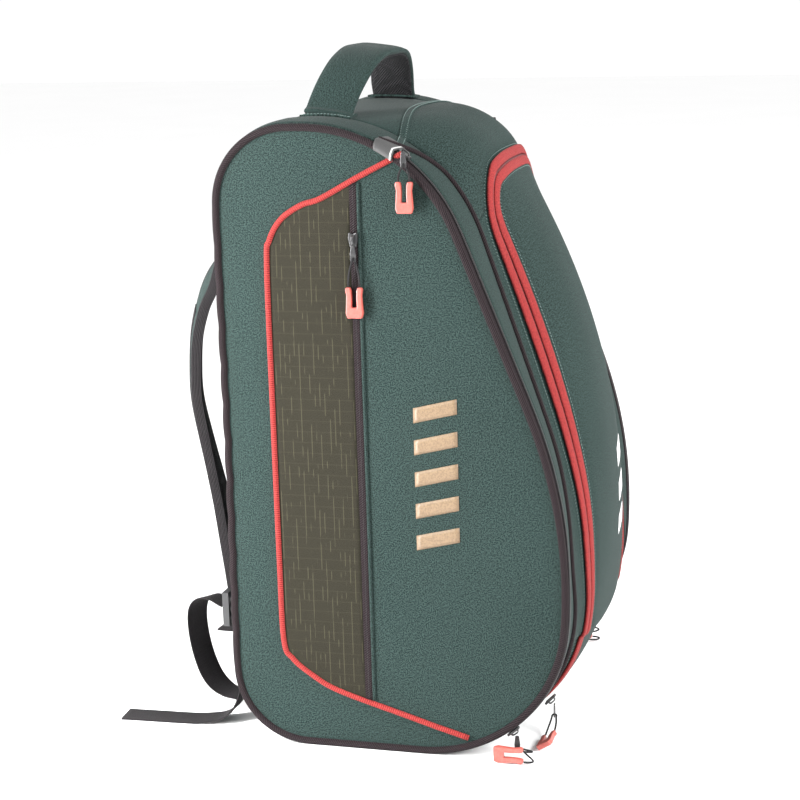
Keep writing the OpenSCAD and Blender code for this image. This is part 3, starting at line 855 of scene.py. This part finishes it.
olive_cloth = finish_of("olive_dobby", "UV", 0.82, dobby, sheen=0.03)
inlay_z = np.linspace(48, 499, 120)
edge_part = trim[(trim[:, 0] > -126) & (trim[:, 1] > 40)][::-1]
inlay_edge = np.interp(inlay_z, edge_part[:, 1], edge_part[:, 0])
for name, side in sides.items():
    t = np.linspace(0, 1, 14)[:, None]
    y = inlay_edge[None, :] * (1 - t) - 122.5 * t
    z = np.broadcast_to(inlay_z, y.shape)
    inlay = cloth_piece(name + "_olive_inlay", on_panel(side, y, z, 0.9), np.stack([y, z], -1) * mm, 1.2 * mm)
    placed(inlay, olive_cloth, "bag", "olive_fabric", name + "_olive_panel")

# Pocket zips: a straight black zip down the front edge of each inlay, under a narrow fold of cloth.
zip_z = np.linspace(47, 501, 90)
for name, side in sides.items():
    line = on_panel(side, np.full_like(zip_z, -124.0), zip_z, 0.7)
    tape = swept(name + "_pocket_zip_tape", line, (side, 0, 0), oblong(6.4 * mm, 1.2 * mm, 0.5 * mm))
    placed(tape, black_piping, "bag", "zip_coil")
    if name == "left":
        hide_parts("pocket_zips")
    line = on_panel(side, np.full_like(zip_z, -124.0), zip_z, 0.9)
    teeth = row_of(name + "_pocket_zip_coil", black_teeth, [line], [[side, 0, 0]], 1.5, 1.2, 2.6, 0.9)
    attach(teeth, "bag")
    line = on_panel(side, np.full_like(zip_z, -128.6), zip_z, 0.6)
    fold = swept(name + "_pocket_zip_fold", line, (side, 0, 0), round_section(1.5 * mm, 10))
    placed(fold, green, "bag", "green_fabric")


# Stitches: green thread in rows of short beads, along the cross seam on top, at the handle's ends, and
# beside the front panel's zip.
def thread(place):
    twist = place.noise(1500, 2)
    return twist.dye((0.05, 0.085, 0.078), (0.15, 0.21, 0.195)), twist, 0.00005, twist


thread_green = finish_of("green_thread", "Object", 0.6, thread, sheen=0.04)
stitches = row_tree("stitches", thread_green)
x_line = np.linspace(-146, 146, 90)
seam_mid = run_to(-141, 551) + (run_to(-164, 544) - run_to(-141, 551)) * (np.abs(x_line) / 150) ** 1.5
felled_across = np.broadcast_to(x_line, (5, len(x_line)))
felled_run = seam_mid[None, :] + np.linspace(-4, 4, 5)[:, None]
felled_lift = 0.5 + 0.9 * np.sin(np.linspace(0, math.pi, 5))[:, None]
felled = cloth_piece("cross_seam_strip", bag_skin(felled_across, felled_run, felled_lift),
                     np.stack([felled_across, felled_run], -1) * mm, 1.5 * mm)
placed(felled, green, "bag", "green_fabric")
seam_rows = [skin_line(x_line, seam_mid + away, 1.2) for away in (-2.6, 2.6)]
seam_stitches = row_of("cross_seam_stitches", stitches, [r[0] for r in seam_rows], [r[1] for r in seam_rows],
                       3.0, 2.3, 0.75, 0.7)
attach(seam_stitches, "bag")
for key, offset in (("outer", tape_half + 2.6), ("inner", -tape_half - 2.6)):
    edge = arch(offset)
    line, out = skin_line(edge[:, 0], edge[:, 1], 0.6 if offset > 0 else 3.4)
    row = row_of(f"front_zip_{key}_stitches", stitches, [line], [out], 3.0, 2.2, 0.7, 0.6)
    if offset > 0:
        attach(row, "bag")
    else:
        front_hinged(row)


# Label: a black woven tab folded over the top end of the left racket zip, with one pale edge.
def woven_label(place):
    weave = place.noise(1600, 2)
    pale = place.split(1).over(15.6 * mm, 15.9 * mm) * (1 - place.split(1).over(17.0 * mm, 17.3 * mm))
    return (pale * 0.9 + weave * 0.12).dye((0.007, 0.007, 0.0075), (0.42, 0.42, 0.41)), weave, 0.0001, weave


label_cloth = finish_of("woven_label", "UV", 0.62, woven_label, sheen=0.03)
label_runs = np.linspace(run_to(-150, 548), run_to(-167, 541), 12)
label_rows = [bag_skin(np.full(12, -across), label_runs + (133 - across) * 0.2, lift)
              for across, lift in ((134, 1.4), (140, 2.0), (147, 2.6), (153, 3.2), (158, 3.4))]
label_rows += [side_line(-1, across, inset, label_runs - 5.4)
               for across, inset in ((161.6, 0.4), (162.6, 3), (162.3, 6))]
label_grid = np.stack(label_rows)
label_steps = np.concatenate([[0], np.cumsum(np.linalg.norm(np.diff(label_grid[:, 5], axis=0), axis=1))])
label_wide = (label_runs - label_runs[0]) * mm
label_uv = np.stack(np.meshgrid(label_steps, label_wide, indexing="ij"), -1)
label = cloth_piece("zip_end_label", label_grid, label_uv, 1.1 * mm)
placed(label, label_cloth, "bag", "label", "label_tab")


# Carry handle: a padded arch of the main cloth over black air mesh, sewn flat onto the top at both ends
# and leaning a little forwards.
def air_mesh(place):
    across = (place.split(0) * (1 / (2.6 * mm))).wave()
    up = (place.split(2) * (1 / (2.2 * mm))).wave()
    deep = (place.split(1) * (1 / (2.6 * mm))).wave()
    holes = (across * up + deep * up + across * deep) * 0.5
    fuzz = place.noise(900, 2)
    return ((holes * 0.5 + fuzz).over(0.1, 1.1).dye((0.004, 0.004, 0.0045), (0.040, 0.039, 0.042)),
            holes, 0.0007, fuzz)


mesh_cloth = finish_of("air_mesh", "Object", 0.85, air_mesh, sheen=0.02)
half_arch = [(-106, -87, 551.5), (-100, -87.5, 554), (-93, -88.5, 561), (-85, -90.5, 570), (-75, -93, 579.5),
             (-60, -96, 590), (-43, -98.5, 597), (-24, -99.5, 600.5), (0, -100, 601)]
arch_line = smooth_line(half_arch + [(-x, y, z) for x, y, z in half_arch[-2::-1]], 6) * mm + [0, back_face, 0]
arch_out = np.cross([0, 1, 0.13], np.gradient(arch_line, axis=0))
arch_out = arch_out * np.sign(arch_out[:, 2].mean() or 1)


def padded_section(wide, low, high, belly, steps=12):
    """A flat section whose upper face is crowned, from low to high, with rolled edges."""
    t = np.linspace(-1, 1, steps)
    top = [(-wide / 2 * a, high - belly + belly * (1 - a ** 4)) for a in t]
    return [(x * mm, y * mm) for x, y in top + [(-wide / 2 - 0.6, low * 0.4 + (high - belly) * 0.6),
                                                (-wide / 2 + 1, low), (wide / 2 - 1, low),
                                                (wide / 2 + 0.6, low * 0.4 + (high - belly) * 0.6)]]


handle_top_cloth = swept("handle_cloth", arch_line, arch_out, padded_section(41, -1, 5.2, 1.6))
handle_pad = swept("handle_air_mesh", arch_line, arch_out,
                   [(x, -y) for x, y in padded_section(38, 0.6, 5.2, 2.6)])
for piece, material, slot_name in ((handle_top_cloth, green, "green_fabric"),
                                   (handle_pad, mesh_cloth, "air_mesh")):
    piece.data.materials.append(material)
for piece in (handle_top_cloth, handle_pad):
    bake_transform(piece)
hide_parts("handle")
for name, side in sides.items():
    foot_x, foot_s = np.meshgrid(side * np.linspace(90, 114, 7),
                                 np.linspace(run_to(-66, 549), run_to(-110, 546), 9),
                                 indexing="ij")
    foot = cloth_piece(name + "_handle_foot", bag_skin(foot_x, foot_s, 1.8),
                       np.stack([foot_x, foot_s], -1) * mm,
                       1.8 * mm)
    placed(foot, green, "bag", "green_fabric")
    box_x = side * np.array([92, 112, 112, 92, 92, 112])
    box_s = np.array([0.05, 0.05, 0.95, 0.95, 0.05, 0.95]) * (foot_s[0, -1] - foot_s[0, 0]) + foot_s[0, 0]
    fine = np.linspace(0, 5, 60)
    line, out = skin_line(np.interp(fine, range(6), box_x), np.interp(fine, range(6), box_s), 2.0)
    box_stitch = row_of(name + "_handle_stitches", stitches, [line], [out], 3.0, 2.2, 0.8, 0.7)
    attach(box_stitch, "bag")


# Back: a foam panel under air mesh, with two tall pads and a wide low one sewn onto it. Each pad is
# blown up a little as cloth, so that it crowns and pulls in between its corners.
def slab(name, low, high, bend):
    """A closed block with rounded edges all round, between two corners in millimetres."""
    low, high = np.array(low, float), np.array(high, float)
    half_x, half_z = (high[0] - low[0]) / 2, (high[2] - low[2]) / 2
    outline = np.array(oblong(2 * half_x, 2 * half_z, bend[0], 8))
    deep = high[1] - low[1]
    profile = [(0.02, 1), (0.5, 1), (0.85, 0.985), (0.93, 0.92), (0.975, 0.75), (1, 0.45), (1, 0.1),
               (0.97, 0), (0.5, 0), (0.02, 0)]
    points, faces = [], []
    for shrink, height in profile:
        for x, z in outline:
            points.append(((low[0] + half_x + x * shrink) * mm, back_face + (low[1] + deep * height) * mm,
                           (low[2] + half_z + z * shrink) * mm))
    count = len(outline)
    for i in range(len(profile) - 1):
        for j in range(count):
            k = (j + 1) % count
            faces.append((i * count + j, i * count + k, (i + 1) * count + k, (i + 1) * count + j))
    faces.append(tuple(range(count)))
    faces.append(tuple(reversed(range((len(profile) - 1) * count, len(profile) * count))))
    return turned_out(add_object(name, points, faces))


def blown_up(piece, voxel, swell):
    """Swells a padded piece as cloth, with no point moving further than swell."""
    remesh = piece.modifiers.new("remesh", "REMESH")
    remesh.mode = "VOXEL"
    remesh.voxel_size = voxel
    bpy.context.view_layer.update()
    plain = bpy.data.meshes.new_from_object(piece.evaluated_get(bpy.context.evaluated_depsgraph_get()))
    piece.modifiers.clear()
    piece.data = plain
    before = np.array([v.co for v in plain.vertices])
    cloth = piece.modifiers.new("cloth", "CLOTH")
    cloth.settings.use_pressure = True
    cloth.settings.uniform_pressure_force = 4
    cloth.settings.effector_weights.gravity = 0
    sewn = piece.vertex_groups.new(name="sewn")
    sewn.add([i for i, p in enumerate(before) if p[1] < back_face + 1.5 * mm], 1, "REPLACE")
    cloth.settings.vertex_group_mass = "sewn"
    for step in range(1, 21):
        bpy.context.scene.frame_set(step)
    blown = bpy.data.meshes.new_from_object(piece.evaluated_get(bpy.context.evaluated_depsgraph_get()))
    after = np.array([v.co for v in blown.vertices])
    move = after - before
    far = np.linalg.norm(move, axis=1, keepdims=True)
    move *= np.minimum(1, swell / np.maximum(far, 1e-9))
    blown.vertices.foreach_set("co", (before + move).ravel())
    blown.shade_smooth()
    piece.modifiers.clear()
    piece.data = blown
    bpy.context.scene.frame_set(1)
    finer = piece.modifiers.new("finer", "SUBSURF")
    finer.levels = finer.render_levels = 1
    smooth_mesh = bpy.data.meshes.new_from_object(piece.evaluated_get(bpy.context.evaluated_depsgraph_get()))
    piece.modifiers.clear()
    piece.data = smooth_mesh
    return piece


panel_back = slab("back_foam_panel", (-109, -5, 58), (109, 0.4, 492), (14, 0))
panel_back.data.materials.append(mesh_cloth)
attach(panel_back, "bag")
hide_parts("back_panel")
for name, low, high in (("left_back_pad", (-110, -0.5, 177), (-26, 5.6, 428)),
                        ("right_back_pad", (26, -0.5, 177), (110, 5.6, 428)),
                        ("lumbar_pad", (-110, -0.5, 72), (110, 5.6, 156))):
    pad = blown_up(slab(name, low, high, (20, 0)), 4 * mm, 2.2 * mm)
    pad.data.materials.clear()
    pad.data.materials.append(mesh_cloth)
    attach(pad, "bag")
    if name == "lumbar_pad":
        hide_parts("back_pads")


# Shoulder straps: foam between the main cloth outside and black air mesh inside, hung from a yoke sewn
# across the top of the back. Strap webbing is sewn down their outsides to the ladder locks.
def ribbed(place):
    ribs = (place.split(1) * (1 / (1.35 * mm))).wave()
    rows = (place.split(0) * (1 / (1.1 * mm))).wave()
    fuzz = place.noise(1000, 2)
    mask = (ribs * 0.25 + rows * 0.1 + fuzz).over(0.2, 0.9)
    colour = mask.dye((0.005, 0.0045, 0.005), (0.034, 0.030, 0.032))
    return colour, ribs * 0.7 + rows * 0.2 + fuzz * 0.2, 0.0003, fuzz


web_cloth = finish_of("ribbed_webbing", "UV", 0.75, ribbed, sheen=0.02)
strap_points = smooth_line([(10, 456), (16, 440), (28, 410), (40, 384), (48, 356), (51, 326), (51, 296),
                            (45, 256), (37, 206), (32, 160), (28, 122)], 6)


def in_side(points, x):
    """A line drawn in the side view, stood up at a place across the bag."""
    points = np.asarray(points, float)
    return np.stack([np.full(len(points), x * mm), back_face + points[:, 0] * mm, points[:, 1] * mm], -1)


def beside(line):
    """The way out of a strap that runs in the side view: away from the bag."""
    along = unit(np.gradient(line, axis=0))
    out = np.cross([1.0, 0, 0], along)
    return out * np.sign(out[:, 1].sum())


yoke = slab("strap_yoke_cloth", (-108, -0.5, 462), (108, 8, 488), (8, 0))
placed(yoke, green, "bag", "green_fabric", "strap_yoke")
for name, side in sides.items():
    line = in_side(strap_points, side * 76)
    steps = np.arange(len(line)) / len(line)
    flat_out = beside(line)
    line = line + flat_out * (5 * eased(steps, 0.05, 0.3) * (1 - eased(steps, 0.6, 0.95)))[:, None] * mm
    lean = np.radians(21 * eased(steps, 0.02, 0.25) - 8 * eased(steps, 0.6, 0.95))[:, None]
    out = flat_out * np.cos(lean) + np.array([side, 0, 0]) * np.sin(lean)
    taper = 1 - 0.12 * eased(steps, 0.75, 1)
    outside = swept(name + "_strap_cloth", line, out, padded_section(59, 2, 5.4, 1.6), scale=taper)
    inside = swept(name + "_strap_air_mesh", line, out,
                   [(x, -y) for x, y in padded_section(57, -2.6, 5.4, 2.4)],
                   scale=taper)
    start = len(line) // 3
    belt = swept(name + "_strap_webbing", line[start:] + out[start:] * 5.6 * mm, out[start:],
                 oblong(25 * mm, 1.4 * mm, 0.5 * mm))
    sewn_on = [(outside, green, "green_fabric"), (inside, mesh_cloth, "air_mesh"),
               (belt, web_cloth, "webbing")]
    for key, edge in (("near", 29.4), ("far", -29.4)):
        binding = swept(f"{name}_strap_{key}_binding", line, out,
                        [(x + edge * mm, y) for x, y in oblong(2.4 * mm, 9.6 * mm, 1 * mm)], scale=taper)
        sewn_on.append((binding, web_cloth, "webbing"))
    for piece, material, slot_name in sewn_on:
        piece.data.materials.append(material)
        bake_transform(piece)
    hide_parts(name + "_shoulder_strap")

# Lower webbing: ribbed webbing from a tab in each lower corner of the back, round in a loop into the
# ladder lock. Its free tail falls past the corner and lies along the ground.
webbing_t = 1.6
loop_points = smooth_line([(33.5, 103), (46, 107), (56, 102), (59.2, 90), (58.5, 72), (54, 50), (46, 30),
                           (35, 18), (22, 13)], 6)
tail_points = [(88, 22.5, 92), (89, 20, 80), (93, 17, 66), (99, 14, 50), (106, 12, 36), (112, 13, 24),
               (117, 18, 13), (120, 28, 5), (122, 42, 2), (124, 60, 1), (125, 82, 1), (126, 104, 1),
               (127, 124, 1)]
tab_arc = [(-66 + 67.5 * math.cos(math.radians(a)), 66 + 67.5 * math.sin(math.radians(a)))
           for a in range(-60, -29, 5)]


def acetal(place):
    grain = place.noise(1400, 2)
    return grain.dye((0.010, 0.010, 0.011), (0.020, 0.020, 0.021)), grain, 0.00004, grain


moulded = finish_of("black_acetal", "Object", 0.45, acetal)
for name, side in sides.items():
    line = in_side(loop_points, side * 88)
    steps = np.arange(len(line)) / len(line)
    bow = eased(steps, 0.02, 0.35) * (1 - eased(steps, 0.65, 0.98))
    turned = np.radians(24 * bow)[:, None]
    flat_out = beside(line)
    loop = swept(name + "_lower_webbing_strap", line + flat_out * bow[:, None] * 4 * mm,
                 flat_out * np.cos(turned) - np.array([side, 0, 0]) * np.sin(turned),
                 oblong(25 * mm, webbing_t * mm, 0.6 * mm))
    loop.data.materials.append(web_cloth)
    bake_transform(loop)
    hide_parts(name + "_lower_webbing")
    for key, points in (("patch", tab_arc), ("tongue", [(-18, 17), (-4, 15.2), (14, 12.5)])):
        line = in_side(points, side * 88)
        tab_piece = swept(f"{name}_corner_{key}", line, beside(line),
                          oblong((40 if key == "patch" else 28) * mm, 2.2 * mm, 0.8 * mm))
        placed(tab_piece, web_cloth, "bag", "webbing")
        if (name, key) == ("left", "patch"):
            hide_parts("corner_tabs")
    route = smooth_line([(side * x, y, z) for x, y, z in tail_points], 4) * mm + [0, back_face, 0]
    route[:, 2] = np.maximum(route[:, 2], 0.9 * mm)
    along = unit(np.gradient(route, axis=0))
    wide = unit(np.array([1.0, 0, 0]) - along * along[:, :1])
    tail = swept(name + "_tail_webbing", route, np.cross(wide, along),
                 oblong(25 * mm, webbing_t * mm, 0.6 * mm))
    placed(tail, web_cloth, name + "_strap", "webbing", name + "_strap_tail")
    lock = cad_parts[name + "_ladder_lock"]
    lock.data.materials.clear()
    lock.data.materials.append(moulded)


# Linings: plain black cloth on the dividers between the three compartments.
def lined(place):
    grain = place.noise(900, 2)
    return grain.dye((0.012, 0.012, 0.013), (0.034, 0.033, 0.035)), grain, 0.0001, grain


lining_cloth = finish_of("plain_lining", "Object", 0.8, lined, sheen=0.03)
for name in sides:
    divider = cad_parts[name + "_divider"]
    divider.data.materials.clear()
    divider.data.materials.append(lining_cloth)


# Zip sliders and pulls: a lacquered body on the coil, a small metal tab, a loop of braided cord through
# it, and a translucent rubber grip with two legs that hold the cord's ends.
def rubber(place):
    cloud = place.noise(420, 2)
    return cloud.dye((0.36, 0.055, 0.043), (0.54, 0.125, 0.095)), cloud, 0.00005, cloud


def braid(place):
    twist = ((place.split(0) + place.split(1)) * (1 / (1.1 * mm))).wave()
    fuzz = place.noise(1400, 2)
    colour = (twist * 0.3 + fuzz).over(0.1, 1).dye((0.006, 0.006, 0.0065), (0.04, 0.039, 0.04))
    return colour, twist, 0.0002, fuzz


soft_rubber = finish_of("coral_rubber", "Object", 0.42, rubber, coat=0.15, see_through=0.25)
braided = finish_of("braided_cord", "UV", 0.75, braid)
metal = finish_of("black_lacquer", "Object", 0.34, lacquer, coat=0.3)


def plate(name, outline, thick, turn, bevel, material, body):
    """A flat piece cut to an outline [across, up], lying in its own YZ plane, then turned into place."""
    count = len(outline)
    points = [turn @ Vector((x * thick / 2 * mm, a * mm, b * mm)) for x in (-1, 1) for a, b in outline]
    faces = [tuple(reversed(range(count))), tuple(range(count, 2 * count))]
    faces += [(i, (i + 1) % count, count + (i + 1) % count, count + i) for i in range(count)]
    piece = turned_out(add_object(name, points, faces, smooth=False))
    rounding = piece.modifiers.new("rounding", "BEVEL")
    rounding.width = bevel * mm
    rounding.segments = 2
    piece.data.materials.append(material)
    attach(piece, body)
    return piece


def at(x, y, z):
    return Matrix.Translation((x * mm, back_face + y * mm, z * mm))


def spin(angle, axis):
    return Matrix.Rotation(math.radians(angle), 4, axis)


half_grip = [(2.4, -17), (2.1, -9), (2.5, -3), (3.4, 0), (6.6, 0), (7.5, -1.6), (6.5, -7), (6.9, -14),
             (7.5, -22), (6.2, -26)]
grip_shape = half_grip + [(-a, b) for a, b in reversed(half_grip)]
half_tab = [(2.4, -13), (2.6, -8), (1.7, -1), (1.4, -0.2)]
tab_shape = half_tab + [(-a, b) for a, b in reversed(half_tab)]
half_body = [(4.1, 1), (3.9, 5.6), (2.6, 6), (0.6, 4.6)]
body_shape = [(-2.7, -6), (2.7, -6)] + half_body + [(-a, b) for a, b in reversed(half_body)]
leg = 4.85
hang_route = [(0, -leg, -34.6), (0.3, -4.6, -28), (0.8, -3.4, -21), (1.5, -1.6, -15.5), (1.9, -0.3, -12.4),
              (0.9, 0, -10.6), (-0.9, 0, -10.6), (-1.9, 0.3, -12.4), (-1.5, 1.6, -15.5), (-0.8, 3.4, -21),
              (-0.3, 4.6, -28), (0, leg, -34.6)]
low_route = [(16, 9, 3), (15.8, 13, 2.8), (13.5, 16, 2.2), (10, 14, 1.5), (6, 8, 0.8), (3, 3, 0.2),
             (1.9, 0.8, 0), (0.9, 0, 0), (-0.9, 0, 0), (-1.9, 0.8, -0.8), (-1.2, 4, -3), (3, 9.5, -5.6),
             (8, 14.5, -6.8), (13, 16.5, -6.9), (15.8, 13, -6.8), (16, 9, -6.7)]
shoulder, corner = side_circles[2], front_bend


def round_the(circle, radius, angle):
    a = math.radians(angle)
    return circle[0] + radius * math.cos(a), circle[1] + radius * math.sin(a)


def zip_pull(name, hang, grip_turn, route):
    """The tab, cord loop and grip of one zip, hung from its pivot."""
    body = name + "_pull"
    grip = plate(name + "_grip", grip_shape, 4.4, hang @ grip_turn, 0.7, soft_rubber, body)
    tab = plate(name + "_tab", tab_shape, 1.0, hang, 0.25, metal, body)
    line = np.array([hang @ (Vector(p) * mm) for p in smooth_line(route, 4)])
    reference = unit(np.cross(np.gradient(line, axis=0), [0.31, 0.55, 0.77]))
    loop = swept(name + "_cord_loop", line, reference, round_section(0.85 * mm, 8))
    placed(loop, braided, body, "pull_cord", name + "_cord", name + "_pull")


def zip_body(name, place, radius_out, tilt):
    """One slider: a shaped plate on the coil with a low bridge over it, on its own CAD node's place."""
    turn = place @ tilt
    plate(name + "_slider_plate", body_shape, 2.0, turn @ Matrix.Translation((radius_out * mm, 0, 0)), 0.4,
          metal, name + "_slider")
    bridge = [(-3.4, 0), (-3.2, 1.6), (-2, 2.4), (2, 2.4), (3.2, 1.6), (3.4, 0)]
    line = np.array([turn @ (Vector((radius_out + 0.6 + b, 0, a)) * mm) for a, b in smooth_line(bridge, 4)])
    wide = (turn.to_3x3() @ Vector((0, 1, 0))).normalized()
    out = np.cross(np.gradient(line, axis=0), np.array(wide))
    arch_piece = swept(name + "_slider_bridge", line, out, oblong(2.4 * mm, 1.0 * mm, 0.35 * mm))
    placed(arch_piece, metal, name + "_slider", "zip_metal", name + "_slider")


grip_drop = 35
coil_top, front_slider_x = 2.9, -85
pocket_y, pocket_z = -124, 454
top_lifted = 10
top_turn, low_turn, front_turn = 127, 233, 225
upright = Matrix.Translation((0, 0, -grip_drop * mm))
lifted = Matrix.Translation((0, 0, (top_lifted - grip_drop) * mm))
bend_z, full = -12.4, 22.2
top_route = [(x, y, bend_z + (z - bend_z) * (full - top_lifted) / full if z < bend_z else z)
             for x, y, z in hang_route]
zip_x = half_w - 9
for name, side in sides.items():
    y, z = round_the(shoulder, shoulder[2], top_turn)
    zip_body(name + "_top", at(side * zip_x, y, z), coil_top, spin(top_turn, "X") @ spin(90, "Z"))
    y, z = round_the(shoulder, shoulder[2] + 8, top_turn)
    zip_pull(name + "_top", at(side * (half_w + 6.5), y, z), lifted, top_route)
    y, z = round_the(corner, corner[2], low_turn)
    zip_body(name + "_low", at(side * zip_x, y, z), coil_top, spin(low_turn, "X") @ spin(90, "Z"))
    y, z = round_the(corner, corner[2] + 8, low_turn)
    lie = Matrix.Translation((side * 16 * mm, (0.4 - 9) * mm, (8.3 - z) * mm)) @ spin(90, "X")
    route = [(side * p[0], -p[1], p[2] - 10.6) for p in low_route]
    zip_pull(name + "_low", at(side * zip_x, y, z), lie, route)
    zip_body(name + "_pocket", at(side * (half_w + 1.6), pocket_y, pocket_z), 2.6, spin(90 - side * 90, "Z"))
    zip_pull(name + "_pocket", at(side * (half_w + 6), pocket_y, pocket_z - 5), upright, hang_route)
front_r = corner[2] + 8
y, z = round_the(corner, front_r, front_turn)
zip_body("front", at(front_slider_x, y, z), coil_top, spin(front_turn, "X") @ spin(90, "Z"))
y, z = round_the(corner, front_r + 8, front_turn)
grip_z = 6.4 - z
roll = math.radians(30)
foot_y, foot_z = leg * math.cos(roll), leg * math.sin(roll)
front_route = [(-foot_y, 23.6, grip_z + foot_z), (-4, 17, -16.2), (-3.2, 9, -14), (-2.2, 4, -11.8),
               (-1.9, 1.2, -10.8), (-0.9, 0, -10.6), (0.9, 0, -10.6), (1.9, 1.2, -11.4), (2.4, 5, -14.4),
               (3.4, 11, -18.4), (4.1, 17.5, -21.6), (foot_y, 23.6, grip_z - foot_z)]
lie = Matrix.Translation((0, 24 * mm, grip_z * mm)) @ spin(30, "Y") @ spin(90, "X") @ spin(90, "Z")
zip_pull("front", at(front_slider_x, y, z) @ spin(90, "Z"), lie, front_route)


# Printed marks: plain slanted bars in gold ink on both sides and in white on the front panel.
def ink_of(dark, pale):
    def ink(place):
        crackle = place.noise(700, 3)
        return crackle.over(0.3, 0.7).dye(dark, pale), crackle, 0.00006, crackle
    return ink


gold_ink = finish_of("gold_ink", "Object", 0.45, ink_of((0.12, 0.078, 0.042), (0.17, 0.112, 0.062)))
white_ink = finish_of("white_ink", "Object", 0.5, ink_of((0.62, 0.62, 0.62), (0.8, 0.8, 0.8)))
bar_y, bar_z, bar_step = -171, 186, 28
for name, side in sides.items():
    for bar in range(5):
        t, u = np.meshgrid(np.linspace(0, 1, 10), np.linspace(0, 1, 5), indexing="ij")
        y = bar_y - 38 * t
        z = bar_z + bar * bar_step + 13 * u + 9 * t
        mark = cloth_piece(f"{name}_gold_bar_{bar + 1}", on_panel(side, y, z, 0.5),
                           np.stack([y, z], -1) * mm, 0.7 * mm)
        folding(mark, gold_ink, name, "label")
for bar in range(3):
    t, u = np.meshgrid(np.linspace(0, 1, 8), np.linspace(0, 1, 6), indexing="ij")
    height = 166 + bar * 30 + 16 * u + 8 * t
    run = np.vectorize(lambda h: run_to(-305, h))(height)
    mark = cloth_piece(f"white_bar_{bar + 1}", bag_skin(10 + 20 * t, run, 3.9), np.stack([t, run], -1) * mm,
                       0.7 * mm)
    placed(mark, white_ink, "front_door", "label")
